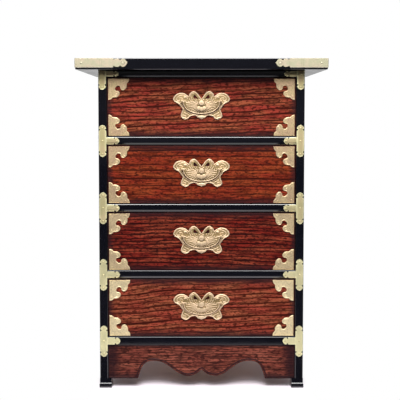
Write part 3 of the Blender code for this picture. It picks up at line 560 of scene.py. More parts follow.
STRAP_BRASS = [make_brass(f"brass_strap_{i}", STRAP_TONES, 0.1, p) for i, p in enumerate(STRAP_PAINTED_LIGHT, 1)]
PLATE_BRASS = [make_brass(f"brass_plate_{i}", PLATE_TONES, 0.35, p) for i, p in enumerate(PLATE_PAINTED_LIGHT, 1)]
PALE_BRASS = make_brass("brass_pale", PALE_TONES, 0.12)
CHASED_BRASS = make_brass("brass_chased", CHASED_TONES, 0.2, smoothest=0.6)
print("brass finishes:", len(STRAP_BRASS) + len(PLATE_BRASS) + 2)

# %% [markdown]
# ## Tools for shapes
#
# Most boards are blocks with eased edges. A Bevel modifier would round all their edges alike, so one
# helper makes a block and another rounds only the edges that a rule picks out. Each finished mesh becomes
# a piece in one place: faces are shaded smooth up to a sharp angle, and weighted normals keep the flats
# flat next to their rounded edges.


# %% Blocks and edges
def block(low, high):
    """A block between two corners."""
    shape = bmesh.new()
    bmesh.ops.create_cube(shape, size=1)
    low, high = Vector(low), Vector(high)
    bmesh.ops.scale(shape, vec=high - low, verts=shape.verts)
    bmesh.ops.translate(shape, vec=(low + high) / 2, verts=shape.verts)
    return shape


def bevel(shape, edges, radius, segments):
    """Rounds edges, or cuts them flat with one segment."""
    bmesh.ops.bevel(
        shape, geom=edges, offset=radius, segments=segments, profile=0.5, affect="EDGES", material=-1
    )


def ease(shape, radius, segments, wanted):
    """Rounds the edges that the rule wants, by their middle and their direction."""
    edges = []
    for edge in shape.edges:
        first, last = (v.co for v in edge.verts)
        if wanted((first + last) / 2, (last - first).normalized()):
            edges.append(edge)
    bevel(shape, edges, radius, segments)


def draw_out(shape, geom):
    """Extrudes a region in place. Gives back its new vertices and its new faces."""
    drawn = bmesh.ops.extrude_face_region(shape, geom=geom)["geom"]
    verts = [g for g in drawn if isinstance(g, bmesh.types.BMVert)]
    return verts, [g for g in drawn if isinstance(g, bmesh.types.BMFace)]


print("helpers: block, bevel, ease, draw_out")

# %% Pieces
SHARP_ANGLE = math.radians(42)


def add_piece(name, shape, finish, stands_for=None, body="carcass"):
    """Makes a shape a piece of the stand that rides on a body of the frame."""
    bmesh.ops.recalc_face_normals(shape, faces=shape.faces)
    mesh = bpy.data.meshes.new(name)
    shape.to_mesh(mesh)
    shape.free()
    mesh.materials.append(finish)
    mesh.shade_smooth()
    mesh.set_sharp_from_angle(angle=SHARP_ANGLE)
    piece = add_object(name, mesh)
    flats = piece.modifiers.new("flat faces", "WEIGHTED_NORMAL")
    flats.keep_sharp = True
    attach(piece, body)
    if stands_for:
        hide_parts(stands_for)
    return piece


print("helper: add_piece")

# %% [markdown]
# ## Top board
#
# The top is one black board that overhangs the case all round. Its upper edge is barely softened, and
# underneath it has a narrow chamfer that catches a line of light from the floor. Both are bevels of a
# block. The underside is left dull, as nobody polishes what nobody sees.

# %% Top board
TOP_LOW, TOP_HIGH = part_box("top_board")
TOP_CHAMFER = 0.8 * MM
TOP_SOFT = 1.1 * MM  # radius of the upper edge

top = block(TOP_LOW, TOP_HIGH)
ease(top, TOP_CHAMFER, 1, lambda mid, way: mid.z < TOP_LOW.z + MM and abs(way.z) < 0.5)
ease(top, TOP_SOFT, 3, lambda mid, way: mid.z > TOP_HIGH.z - MM and abs(way.z) < 0.5)
board = add_piece("top_lacquered_board", top, LACQUER, "top_board")
board.data.materials.append(DULL_LACQUER)
for face in board.data.polygons:
    face.material_index = 1 if face.normal.z < -0.9 else 0
print("top:", [round(v, 3) for v in TOP_HIGH - TOP_LOW])

# %% [markdown]
# ## Posts, rails and feet
#
# Four posts and the rails between them are the frame of the case. The front rails are rounded above and
# cut to a steep slope below, which is why each shows a bright line above and a soft glow below. Such a
# section could be drawn and extruded, but a block takes its size from the CAD model, so the rails start
# as blocks. A bevel of several segments gives the round. For the slope, a plain bevel is made and its
# back edge is then pulled forward. The lowest rail is rounded on both edges. The feet are small blocks in
# two tiers: the top of a low block is inset and drawn up.

# %% Front posts
POST_FACE = -142 * MM
POST_BACK = -122 * MM
POST_OUTER = 186 * MM
POST_INNER = 171 * MM
POST_SOFT = 1.6 * MM
FOOT_HEIGHT = 17.5 * MM

for side_name, side in SIDES.items():
    left, right = sorted((side * POST_INNER, side * POST_OUTER))
    post = block((left, POST_FACE, FOOT_HEIGHT), (right, POST_BACK, TOP_LOW.z))
    ease(post, POST_SOFT, 3, lambda mid, way: abs(way.z) > 0.9)
    add_piece(f"front_post_{side_name}", post, LACQUER, f"post_front_{side_name}")
print("posts:", round(TOP_LOW.z - FOOT_HEIGHT, 4), "m long")

# %% Front rails
RAILS = ["front_top_rail", "divider_rail_1", "divider_rail_2", "divider_rail_3", "front_bottom_rail"]
LOWEST = RAILS[-1]
RAIL_SOFT = {node: 2.0 * MM for node in RAILS}  # radius of the upper edge
RAIL_SOFT["divider_rail_3"] = 1.1 * MM  # its edge is sharper than the others
RAIL_CHAMFER = 4.6 * MM  # height of the slope along the lower edge
RAIL_SLOPE = 0.62  # how far the slope goes back, as a share of its height
SLOPE_SOFT = 0.9 * MM  # radius where the slope begins
LOWEST_SOFT = 2.6 * MM  # radius of the lowest rail's lower edge
RAIL_GAP = 0.3 * MM  # more air than the CAD leaves beside a drawer
RAIL_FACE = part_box("divider_rail_1")[0].y


def rail_box(node):
    """A rail between the posts, without its tenons."""
    low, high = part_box(node)
    low.x, high.x = -POST_INNER, POST_INNER
    if node == LOWEST:
        high.z -= RAIL_GAP
    else:
        low.z += RAIL_GAP
    return low, high


def soften(rail, radius, segments, face, height):
    """Rounds a rail's long front edge at a height."""

    def wanted(mid, way):
        return abs(way.x) > 0.9 and mid.y < face + MM and abs(mid.z - height) < MM

    ease(rail, radius, segments, wanted)


def slope_edge(rail, low):
    """Cuts a slope along a rail's lower front edge, higher than it is deep, and softens where it begins."""
    soften(rail, RAIL_CHAMFER, 1, low.y, low.z)
    for vert in rail.verts:
        if vert.co.z < low.z + 0.1 * MM and vert.co.y < low.y + 1.1 * RAIL_CHAMFER:
            vert.co.y = low.y + RAIL_SLOPE * RAIL_CHAMFER
    soften(rail, SLOPE_SOFT, 3, low.y, low.z + RAIL_CHAMFER)


for node in RAILS:
    low, high = rail_box(node)
    rail = block(low, high)
    soften(rail, RAIL_SOFT[node], 5, low.y, high.z)
    if node == LOWEST:
        soften(rail, LOWEST_SOFT, 7, low.y, low.z)
    else:
        slope_edge(rail, low)
    finish = WORN_LACQUER if node == LOWEST else LACQUER
    add_piece(f"{node}_rounded", rail, finish, node)
print("rails:", len(RAILS), "face at", round(RAIL_FACE, 4))

# %% Feet
FOOT_TIER = 8.5 * MM
FOOT_STEP = 1.2 * MM
FOOT_SOFT = 2.4 * MM  # radius between the tiers
FOOT_EDGE = 1.2 * MM  # radius at the ground

for end_name in ENDS:
    for side_name in SIDES:
        node = f"foot_{end_name}_{side_name}"
        low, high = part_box(node)
        foot = block(low, (high.x, high.y, FOOT_TIER))
        lid = [f for f in foot.faces if f.normal.z > 0.9]
        bmesh.ops.inset_region(foot, faces=lid, thickness=FOOT_STEP, depth=FOOT_STEP / 2)
        for vert in draw_out(foot, lid + list(lid[0].edges))[0]:
            vert.co.z = high.z
        ease(foot, FOOT_SOFT, 4, lambda mid, way: abs(mid.z - FOOT_TIER) < 0.1 * MM and abs(way.z) < 0.1)
        ease(foot, FOOT_EDGE, 3, lambda mid, way: mid.z < 0.1 * MM)
        add_piece(f"{node}_block", foot, LACQUER, node)
print("feet:", len(ENDS) * len(SIDES))

# %% [markdown]
# ## Curves drawn by a few points
#
# The apron and all the brass are sawn to curves. They could be traced with many points, but a few are
# easier to read and to change. So each curve is given by a few points, in millimetres, and a smooth run
# is drawn through them with Bezier handles that follow the neighbours. Where two runs meet, the outline
# keeps a corner.


# %% Smooth outlines
def smooth_run(points, steps=6):
    """Points along a smooth line through the given ones."""
    knots = [Vector(p) for p in points]
    last = len(knots) - 1
    run = []
    for i in range(last):
        before, start, end, after = (knots[max(0, min(last, j))] for j in (i - 1, i, i + 1, i + 2))
        leaving = start + (end - before) / 6
        arriving = end - (after - start) / 6
        piece = interpolate_bezier(start, leaving, arriving, end, steps + 1)
        run += [p.to_tuple() for p in piece[:-1]]
    return run + [knots[-1].to_tuple()]


def joined(runs, steps=6):
    """Smooth runs one after the other, with a corner where they meet."""
    outline = []
    for run in runs:
        outline += smooth_run(run, steps)[(1 if outline else 0) :]
    return outline


def mirrored(points):
    """Points on the other side of the middle line."""
    return [(-u, v) for u, v in points]


def both_halves(half):
    """A closed outline from its right half, which starts and ends on the middle line."""
    return half + mirrored(reversed(half[1:-1]))


def moved_in(outline, by):
    """The outline's points moved inwards. The outline runs clockwise."""
    count = len(outline)
    moved = []
    for i in range(count):
        before, point, after = (Vector(outline[j % count]) for j in (i - 1, i, i + 1))
        way = (point - before).normalized() + (after - point).normalized()
        inward = Vector((way.y, -way.x)).normalized()
        moved.append((point + inward * by).to_tuple())
    return moved


print("helpers: smooth_run, joined, mirrored, both_halves, moved_in")


# %% Sheets and plates
def sheet(loops, level=0.0):
    """A flat face in X and Z, in metres, between closed outlines in millimetres."""
    shape = bmesh.new()
    edges = []
    for loop in loops:
        verts = [shape.verts.new((u * MM, level, v * MM)) for u, v in loop]
        edges += [shape.edges.new(pair) for pair in zip(verts, verts[1:] + verts[:1])]
    bmesh.ops.triangle_fill(shape, use_beauty=True, use_dissolve=True, edges=edges)
    return shape


def plate(loops, back, front, rounding, segments=2):
    """A plate cut to outlines, from back to front along Y, with its front edges rounded."""
    shape = sheet(loops, back)
    raised, _ = draw_out(shape, shape.faces[:])
    bmesh.ops.translate(shape, vec=(0, front - back, 0), verts=raised)
    bmesh.ops.recalc_face_normals(shape, faces=shape.faces)
    sharp = [e for e in shape.edges if abs(e.calc_face_angle(0)) > 0.9]
    rim = [e for e in sharp if all(abs(v.co.y - front) < 1e-7 for v in e.verts)]
    bevel(shape, rim, rounding, segments)
    return shape


print("helpers: sheet, plate")

# %% [markdown]
# ## Beads and nails
#
# The relief of the brass is drawn in beads: round ridges that follow a rim, a curl or a vein. It could be
# sculpted, but a bead is made again in a moment when its path changes. A curve with a round bevel makes a
# bead along any path, and becomes mesh at once, so that a piece stays one mesh. Nails are low domes of a
# few dozen faces. Each bead and dome has its mark for the finish, as a ridge or as a groove.


# %% Beads
def ridge_layer(shape):
    """The mark for what stands up. A new layer makes held vertices void, so it is asked for before them."""
    return shape.verts.layers.float.get("ridge") or shape.verts.layers.float.new("ridge")


def join(shape, mesh, mark):
    """Puts a mesh into a shape, with one mark for all of it, and removes the mesh."""
    layer = ridge_layer(shape)
    before = set(shape.verts)
    shape.from_mesh(mesh)
    for vert in shape.verts:
        if vert not in before:
            vert[layer] = mark
    bpy.data.meshes.remove(mesh)


def add_beads(shape, beads, sunk=0.5, mark=1.0):
    """Joins round beads to a shape, sunk by a share of their radius so that they stay low.

    Each is a list of points in metres, a radius in metres and whether it closes.
    """
    curve = bpy.data.curves.new("beads", "CURVE")
    curve.dimensions = "3D"
    curve.bevel_depth = 1
    curve.bevel_resolution = 1
    curve.use_fill_caps = True
    for points, radius, closed in beads:
        line = curve.splines.new("POLY")
        line.points.add(len(points) - 1)
        for knot, (x, y, z) in zip(line.points, points):
            knot.co = (x, y + sunk * radius, z, 1)
            knot.radius = radius
        line.use_cyclic_u = closed
    holder = add_object("beads", curve)
    made = holder.evaluated_get(bpy.context.evaluated_depsgraph_get())
    join(shape, bpy.data.meshes.new_from_object(made), mark)
    bpy.data.objects.remove(holder)
    bpy.data.curves.remove(curve)


print("helpers: ridge_layer, join, add_beads")


# %% Domes, curls and circles
def add_dome(shape, place, radii, segments=10, mark=1.0):
    """Joins an oval dome to a shape, in metres. Its back half lies in what carries it."""
    layer = ridge_layer(shape)
    rows = max(6, segments // 2)
    made = bmesh.ops.create_uvsphere(shape, u_segments=segments, v_segments=rows, radius=1)["verts"]
    bmesh.ops.rotate(shape, verts=made, cent=(0, 0, 0), matrix=Matrix.Rotation(math.pi / 2, 3, "X"))
    bmesh.ops.scale(shape, vec=radii, verts=made)
    bmesh.ops.translate(shape, vec=place, verts=made)
    for vert in made:
        vert[layer] = mark
    return made


def curl(middle, start_radius, end_radius, start, turns, count=16):
    """Points of a spiral, in millimetres."""
    points = []
    for i in range(count):
        share = i / (count - 1)
        radius = start_radius + (end_radius - start_radius) * share
        angle = start + 2 * math.pi * turns * share
        points.append((middle[0] + radius * math.cos(angle), middle[1] + radius * math.sin(angle)))
    return points


def circle(middle, radius, count=16):
    """Points of a closed circle, in millimetres."""
    return curl(middle, radius, radius, 0, 1, count + 1)[:-1]


def on_plane(points, level):
    """Points in millimetres laid on a plane of constant Y, in metres."""
    return [(u * MM, level, v * MM) for u, v in points]


def mm(*lengths):
    """Lengths in millimetres as metres."""
    return [length * MM for length in lengths]


print("helpers: add_dome, curl, circle, on_plane, mm")

# %% [markdown]
# ## Apron
#
# Under the bottom rail hangs a scalloped apron of the same wood as the drawers, with two ogee waves that
# meet in the middle. It stands a little behind the posts. One dark line follows the sawn edge, which is
# stained dark itself. Another, along the rail, is painted shadow under the rail's edge, and the wood is
# misted black where it meets the posts.
# The lines are low beads that carry a mark below 0, so the wood needs no second finish for them.

# %% Apron
APRON_WAVE = [(0, 16.6), (9.6, 8.9), (19.4, 5.4), (29, 5.1), (41.6, 10), (53.6, 18.5), (65.2, 26.6)]
APRON_WAVE += [(74.2, 30.8), (85.1, 32.8), (97.7, 31.5), (106.2, 25.9), (111.5, 15.7), (116.7, 0)]
WAVE_ROOM = 36  # height above the foot that holds the whole wave
APRON_FACE = -139 * MM
APRON_HALF = 170.7
APRON_DROP = 1.7  # of its foot below the CAD's
APRON_SOFT = 1.1 * MM
LINE_RADIUS = 1.5 * MM
LINE_ASIDE = 3.6  # from the sawn edge to the dark line that follows it
SHADOW_LINE_BELOW = 1.2  # from the rail to the dark line under it
LINE_STOP = 20  # the line at the sawn edge stays this far below the apron's head

apron_low, apron_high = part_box("front_apron")
apron_foot, apron_head = apron_low.z / MM - APRON_DROP, apron_high.z / MM
wave = [(u, apron_foot + v) for u, v in smooth_run(APRON_WAVE, 5)]
half_apron = wave + [(APRON_HALF, apron_foot), (APRON_HALF, apron_head), (0, apron_head)]
apron_outline = both_halves(half_apron)
apron = plate([apron_outline], apron_high.y, APRON_FACE, APRON_SOFT, 3)
layer = ridge_layer(apron)
for vert in apron.verts:
    sawn = vert.co.y > APRON_FACE + 0.1 * MM and vert.co.z < (apron_foot + WAVE_ROOM) * MM
    vert[layer] = -1.0 if sawn else 0.0
beside = moved_in(apron_outline, -LINE_ASIDE)
half_line = [(u, v) for u, v in beside if u >= 0 and v < apron_head - LINE_STOP]
sawn_line = mirrored(reversed(half_line[1:])) + half_line
# Painted shadow: a dark line under the rail, where its edge shades the apron.
rail_shadow_line = [(end * APRON_HALF, apron_head - SHADOW_LINE_BELOW) for end in (-1, 1)]
lines = [(on_plane(line, APRON_FACE), LINE_RADIUS, False) for line in (sawn_line, rail_shadow_line)]
add_beads(apron, lines, mark=-1.0)
APRON_COLOURS = ((0.188, 0.044, 0.029), (0.246, 0.070, 0.044), (0.018, 0.005, 0.004))
APRON_SPRAY = ((0, 0, 60), (162, 50, 45), 20)  # middle, half size and fade
APRON_WOOD = make_wood(
    "apron_wood", "XYZ", APRON_COLOURS, ring=4.6, wander=18, shift=(310, 0, 57), spray=APRON_SPRAY
)
add_piece("scalloped_apron", apron, APRON_WOOD, "front_apron")
print("apron outline points:", len(half_apron))

# %% [markdown]
# ## Drawer fronts
#
# Each front is a thick board with softened edges. No two boards have the same figure: the second is cut
# nearly along the rings, with wide quiet bands, the third has them close and curved, the fourth wanders.
# Each front has its own wood with its own ring width, drift and tilt, while the recipe stays the same.
# Two dark spots behind the antennae are painted shade, where the pierced holes of the plate look into
# shadow.

# %% Drawer fronts
FRONT_FACE = -140 * MM
FRONT_SOFT = 0.9 * MM
MIST_FADE = 15
PIVOT_RISE = 7.6  # of a pull's pivots above the middle of its butterfly
# Painted shade behind the butterfly's holes: its height, how far aside it lies, and its radius.
HOLE_SHADE_RISE = 15.6  # of the dark spots above it
HOLE_SHADE_ASIDE = 10.8
HOLE_SHADE_RADIUS = 6.5
FIGURES = {
    1: {"ring": 8.5, "wander": 24, "tilt": 0.04, "shift": (0, 0, 3), "contrast": 2.2},
    2: {"ring": 13.0, "wander": 14, "shift": (150, 0, 40), "contrast": 1.5},
    3: {"ring": 6.5, "wander": 14, "bow": 1.5, "shift": (60, 0, 11), "contrast": 2.9},
    4: {"ring": 8.5, "wander": 20, "tilt": 0.05, "shift": (-90, 0, 5), "contrast": 2.0},
}
FRONT_COLOURS = {
    1: (RED_GROUND, RED_FLAME, RED_VEIN),
    2: ((0.242, 0.028, 0.013), (0.266, 0.048, 0.016), RED_VEIN),
    3: ((0.182, 0.017, 0.011), (0.268, 0.048, 0.024), (0.012, 0.002, 0.002)),
    4: ((0.285, 0.048, 0.028), (0.318, 0.086, 0.040), RED_VEIN),
}


def butterfly_height(n):
    """The middle of a drawer's butterfly, a little below the pivots of its pull."""
    hinge = next(j for j in frame["joints"] if j["name"] == f"pull_{n}_hinge")
    return hinge["pos_m"][2] - PIVOT_RISE * MM


def front_box(n):
    """A drawer's front board, without its brass."""
    low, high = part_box(f"drawer_{n}_front")
    low.y = FRONT_FACE
    return low, high


for n in DRAWERS:
    low, high = front_box(n)
    front = block(low, high)
    ease(front, FRONT_SOFT, 3, lambda mid, way: mid.y < FRONT_FACE + MM)
    mist = ((low + high) / 2 / MM, (high - low) / 2 / MM, MIST_FADE)
    hole_shade_spots = (butterfly_height(n) / MM + HOLE_SHADE_RISE, HOLE_SHADE_ASIDE, HOLE_SHADE_RADIUS)
    wood = make_wood(f"drawer_{n}_wood", "XYZ", FRONT_COLOURS[n], spray=mist, hole_shade=hole_shade_spots, **FIGURES[n])
    node = f"drawer_{n}_front"
    add_piece(f"drawer_{n}_show_front", front, wood, node, f"drawer_{n}")
print("drawer fronts:", len(DRAWERS))

# %% [markdown]
# ## Boards that stay as the CAD made them
#
# The back posts, side rails, panels, shelves and drawer boxes have the right shapes already, so they only
# get their finish. The panels have upright grain. The boxes are of a pale wood, as drawers are inside.

# %% Finishes of the CAD boards
PALE = ((0.50, 0.34, 0.19), (0.60, 0.43, 0.26), (0.27, 0.16, 0.08))
PANEL = ((0.130, 0.024, 0.011), (0.220, 0.052, 0.021), RED_VEIN)
SIDE_WOOD = make_wood("side_panel_wood", "ZXY", PANEL, ring=12, wander=40, shift=(40, 0, 9))
BACK_WOOD = make_wood("back_panel_wood", "ZYX", PANEL, ring=14, wander=46, shift=(0, 0, 70))
SIDE_APRON_WOOD = make_wood("side_apron_wood", "YXZ", PANEL, ring=8, wander=26)
BOX_SIDE_WOOD = make_wood("box_side_wood", "YXZ", PALE, ring=9, wander=24, pores=0.3)
BOX_WOOD = make_wood("box_wood", "XYZ", PALE, ring=11, wander=30, pores=0.3)
BOX_FLOOR_WOOD = make_wood("box_floor_wood", "XZY", PALE, ring=13, wander=50, pores=0.3)


def finish_nodes(finish, *nodes):
    """Gives boards of the CAD model a finish."""
    for node in nodes:
        materials = frame["nodes"][node].data.materials
        materials.clear()
        materials.append(finish)
    print(finish.name, "on", *nodes)


for side_name in SIDES:
    finish_nodes(SIDE_WOOD, f"side_panel_{side_name}")
    finish_nodes(SIDE_APRON_WOOD, f"side_apron_{side_name}")
    finish_nodes(LACQUER, f"post_back_{side_name}")
    finish_nodes(LACQUER, f"side_top_rail_{side_name}", f"side_bottom_rail_{side_name}")
finish_nodes(BACK_WOOD, "back_panel")
for n in DRAWERS:
    finish_nodes(BOX_FLOOR_WOOD, f"shelf_{n}", f"drawer_{n}_bottom")
    finish_nodes(BOX_WOOD, f"drawer_{n}_back")
    finish_nodes(BOX_SIDE_WOOD, *(f"drawer_{n}_side_{side_name}" for side_name in SIDES))

# %% [markdown]
# ## Straps on the posts
#
# At each rail a brass strap holds post and rail together: an upright bar with a pointed finial at each
# end, and an arm that lies on the rail and follows its edges. It is sheet metal, so it is made the way a
# metalworker would: cut flat, then bent. The flat sheet is first sliced across by planes, so that there
# are vertices to bend, and gets its thickness last. Under the top, the uppermost strap has no upper half.

# %% Strap outline
STRAP_HALF = 6.7
STRAP_REACH = 29.0  # from the rail's middle to a finial's tip
STRAP_ARM = 30.1  # from the post's middle to the arm's tip
ARM_MARGIN = 1.3  # between the arm's edges and the rail's
FINIAL = 9.4
NOTCH = 2.3


def finial(half):
    """The end of a strap, from right to left: two notches and a pointed round tip."""
    neck = half - NOTCH
    bite = [(half, -0.12 * FINIAL), (neck, -0.02 * FINIAL), (neck, 0.12 * FINIAL)]
    lobe = [(0.94 * half, 0.24 * FINIAL), (0.93 * half, 0.5 * FINIAL), (0.5 * half, 0.86 * FINIAL)]
    right = smooth_run(bite, 3) + smooth_run(lobe, 4)
    return [*right, (0, FINIAL), *mirrored(reversed(right))]


def strap_outline(above, below, arm_half, flat_top):
    """A strap about the point where its arm meets the post, with its arm towards +X, in millimetres."""
    outline = [(u, above - FINIAL + v) for u, v in reversed(finial(STRAP_HALF))]
    if flat_top:
        outline = [(-STRAP_HALF, above), (STRAP_HALF, above)]
    outline.append((STRAP_HALF, arm_half))
    outline += [(STRAP_ARM - FINIAL + v, u) for u, v in finial(arm_half)]
    outline.append((STRAP_HALF, -arm_half))
    return outline + [(u, FINIAL - below - v) for u, v in finial(STRAP_HALF)]


print("strap outline points:", len(strap_outline(STRAP_REACH, STRAP_REACH, STRAP_HALF, False)))


# %% Slices and the face of a rail
def slice_across(shape, axis, levels):
    """Cuts the faces of a shape by planes, so that it can bend there."""
    for level in levels:
        point, normal = Vector((0, 0, 0)), Vector((0, 0, 0))
        point[axis], normal[axis] = level, 1
        geom = shape.verts[:] + shape.edges[:] + shape.faces[:]
        bmesh.ops.bisect_plane(shape, geom=geom, plane_co=point, plane_no=normal)


def set_back(node, height, half):
    """How far a rail's face lies behind its front at a height from its middle."""
    if height < 0 and node != LOWEST:
        return RAIL_SLOPE * max(0, RAIL_CHAMFER - half - height)
    rounding = RAIL_SOFT[node]
    beyond = max(0, abs(height) - (half - rounding))
    return rounding - math.sqrt(max(rounding**2 - beyond**2, 0))


print("helpers: slice_across, set_back")

# %% Bend the straps
SHEET_METAL = 0.8 * MM
STRAP_CROWN = 0.6 * MM  # how far its long edges are bent back
STRAP_LIFT = 0.7 * STRAP_CROWN  # of its middle off the post
STRAP_FACE = POST_FACE - SHEET_METAL - STRAP_LIFT
POST_MIDDLE = (POST_INNER + POST_OUTER) / 2
TOP_STRAP_MARGIN = 0.6  # from the upper edge of its rail to the uppermost strap
TOP_STRAP_REACH = 35  # from that edge to its finial's tip
# Places to slice at: shares of a finial from its tip, of half a rail's height and of half a strap's width.
FINIAL_CUTS = (0.4, 1.2)
RAIL_CUTS = (-0.75, -0.6, -0.45, -0.3, 0.3, 0.66, 0.74, 0.81)
POST_CUTS = (-0.94, -0.85, -0.7, -0.45, 0.45, 0.7, 0.85, 0.94, 1.25)
ARM_START = 1.1  # share of half a strap's width past which a point lies on the rail
# The strap's long edges are painted bright between these shares, as a painted highlight.
HIGHLIGHT_FROM, HIGHLIGHT_FULL = 0.6, 0.9  # shares of the half width between which the edges turn bright


def make_strap(name, node, side, uppermost, finish):
    """Cuts a strap flat and bends it over post and rail. Gives back the height of its middle."""
    low, high = rail_box(node)
    level, half = (low.z + high.z) / 2, (high.z - low.z) / 2
    arm_half = half / MM - ARM_MARGIN
    above = half / MM - TOP_STRAP_MARGIN if uppermost else STRAP_REACH
    below = TOP_STRAP_REACH - half / MM if uppermost else STRAP_REACH
    shape = sheet([strap_outline(above, below, arm_half, uppermost)])
    heights = [above - cut * FINIAL for cut in FINIAL_CUTS] + [cut * FINIAL - below for cut in FINIAL_CUTS]
    slice_across(shape, 2, mm(*heights) + [cut * half for cut in RAIL_CUTS])
    along = [STRAP_ARM - cut * FINIAL for cut in FINIAL_CUTS] + [cut * STRAP_HALF for cut in POST_CUTS]
    slice_across(shape, 0, mm(*along))
    layer = ridge_layer(shape)
    for vert in shape.verts:
        across = abs(vert.co.x) / (STRAP_HALF * MM)
        y = STRAP_FACE + STRAP_CROWN * min(1.0, across) ** 3
        if vert.co.x > ARM_START * STRAP_HALF * MM:
            across = abs(vert.co.z) / (arm_half * MM)
            y = RAIL_FACE - SHEET_METAL + set_back(node, vert.co.z, half)
        # Painted highlight: the rim and the long edges of the strap are marked bright, for the light their
        # bent edges catch.
        edge_highlight = (across - HIGHLIGHT_FROM) / (HIGHLIGHT_FULL - HIGHLIGHT_FROM)
        vert[layer] = 1.0 if vert.is_boundary else max(0.0, min(1.0, edge_highlight))
        vert.co = (side * (POST_MIDDLE - vert.co.x), y, level + vert.co.z)
    # All faces look back at the post, so that straps on the left and on the right thicken the same way.
    bmesh.ops.recalc_face_normals(shape, faces=shape.faces)
    if sum(f.normal.y for f in shape.faces) < 0:
        bmesh.ops.reverse_faces(shape, faces=shape.faces)
    bmesh.ops.solidify(shape, geom=shape.faces[:], thickness=-SHEET_METAL)
    add_piece(name, shape, finish)
    return level


print("helper: make_strap")

# %% Straps and their nails
NAIL = mm(1.5, 0.7, 1.5)
NAIL_RISE = 23.4 * MM  # of the nails in the finials, from the middle of the strap
TOP_NAIL_DROP = 23 * MM
ARM_NAIL = 25.5 * MM  # from the post's middle to the nail in the arm

strap_nails = bmesh.new()
for side_name, side in SIDES.items():
    for count, node in enumerate(RAILS, 1):
        uppermost = count == 1
        level = make_strap(f"post_strap_{side_name}_{count}", node, side, uppermost, STRAP_BRASS[count - 1])
        for rise in (0, -TOP_NAIL_DROP) if uppermost else (-NAIL_RISE, 0, NAIL_RISE):
            add_dome(strap_nails, (side * POST_MIDDLE, STRAP_FACE, level + rise), NAIL, mark=0.2)
        tip = side * (POST_MIDDLE - ARM_NAIL)
        add_dome(strap_nails, (tip, RAIL_FACE - SHEET_METAL, level), NAIL, mark=0.2)
add_piece("post_strap_nails", strap_nails, STRAP_BRASS[2])
print("straps:", 2 * len(RAILS))

# %% [markdown]
# ## Straps round the corners of the top
#
# Each corner of the top is bound by one strip that turns the corner and ends, on both sides, in two
# knobs. Two strips would be easier to make, but they would leave a seam there. So one flat strip is drawn
# with the corner in its middle, sliced where it bends, and wrapped: a function turns the distance along
# the strip and its thickness into a place round the corner.

# %% Outline and bend of the top straps
STRIP_LENGTH = 67.0
STRIP_HALF = 8.25
KNOB = [(1.2, 5), (3.5, 6.6), (7.7, 7.4), (11, 6.4), (12.5, 4.2)]
KNOB_TIP = [(12.5, 4.2), (14.5, 6.2), (18, 7.2), (21.5, 5.6), (24, 2.4), (26, 0)]
CORNER_BEND = 0.5 * MM


def strip_outline():
    """The strap of a corner laid flat, with the corner at 0, in millimetres."""
    knobs = joined([KNOB, KNOB_TIP], 4)
    right = [(STRIP_LENGTH, STRIP_HALF)] + [(STRIP_LENGTH + u, v) for u, v in knobs]
    right += [(u, -v) for u, v in reversed(right[:-1])]
    return right + mirrored(reversed(right))


def round_corner(along, out):
    """Place of a point on a bent strip: distances from the corner along X and Y, inwards positive."""
    arc = CORNER_BEND * math.pi / 4
    turn = max(-1.0, min(1.0, along / arc)) * math.pi / 4
    middle = Vector((CORNER_BEND, CORNER_BEND))
    way = Vector((-math.cos(math.pi / 4 + turn), -math.sin(math.pi / 4 + turn)))
    place = middle + way * (CORNER_BEND + out)
    straight = max(0.0, abs(along) - arc)
    return place + (Vector((straight, 0)) if along > 0 else Vector((0, straight)))


print("top strap outline points:", len(strip_outline()))

# %% Top straps
STRIP_METAL = 0.9 * MM
STRIP_SOFT = 0.35 * MM
STRIP_GAP = 0.3 * MM  # between the board and the strip
STRIP_DROP = 0.2 * MM  # below the upper face of the board
STRIP_LEVEL = TOP_HIGH.z - STRIP_HALF * MM - STRIP_DROP
# The strip's lower edge is painted bright: a painted highlight where its bevel catches the light.
STRIP_HIGHLIGHT = 1.0  # height of the bright lower edge
STRIP_HIGHLIGHT_FADE = 0.5  # above it
SCRIBED = (43.4, 46.6, 66, 68.4)  # lines across it, from the corner
SCRIBED_ENDS = (-0.7, 0.9)  # shares of the half width
SCRIBED_BEAD = 0.4 * MM
STRIP_RING = 84.5  # middle of the ring on its end
RING_RADIUS = 3.2
RING_BEAD = 0.6 * MM
BEND_CUTS = (-0.8, -0.4, 0, 0.4, 0.8)  # shares of the bend's radius


def make_top_strap(name, node, side, end):
    """Draws a strap flat, with its lines and rings, and wraps it round a corner of the top."""
    shape = plate([strip_outline()], 0, -STRIP_METAL, STRIP_SOFT)
    slice_across(shape, 2, [(STRIP_HIGHLIGHT + STRIP_HIGHLIGHT_FADE - STRIP_HALF) * MM])
    # Painted highlight along the lower edge.
    layer = ridge_layer(shape)
    for vert in shape.verts:
        vert[layer] = 1.0 if vert.co.z < (STRIP_HIGHLIGHT - STRIP_HALF) * MM else 0.0
    places = [u * turn for u in SCRIBED for turn in (-1, 1)]
    scribed = [[(u, share * STRIP_HALF) for share in SCRIBED_ENDS] for u in places]
    beads = [(on_plane(line, -STRIP_METAL), SCRIBED_BEAD, False) for line in scribed]
    add_beads(shape, beads, sunk=0.8, mark=-0.45)
    rings = [circle((turn * STRIP_RING, 0), RING_RADIUS) for turn in (-1, 1)]
    beads = [(on_plane(ring, -STRIP_METAL), RING_BEAD, True) for ring in rings]
    add_beads(shape, beads, sunk=0.7, mark=-0.7)
    slice_across(shape, 0, [share * CORNER_BEND for share in BEND_CUTS])
    corner = TOP_HIGH.xy + Vector((STRIP_GAP, STRIP_GAP))
    for vert in shape.verts:
        inward = round_corner(vert.co.x, -vert.co.y)
        vert.co = (side * (corner.x - inward.x), end * (corner.y - inward.y), vert.co.z + STRIP_LEVEL)
    add_piece(name, shape, PALE_BRASS, node)


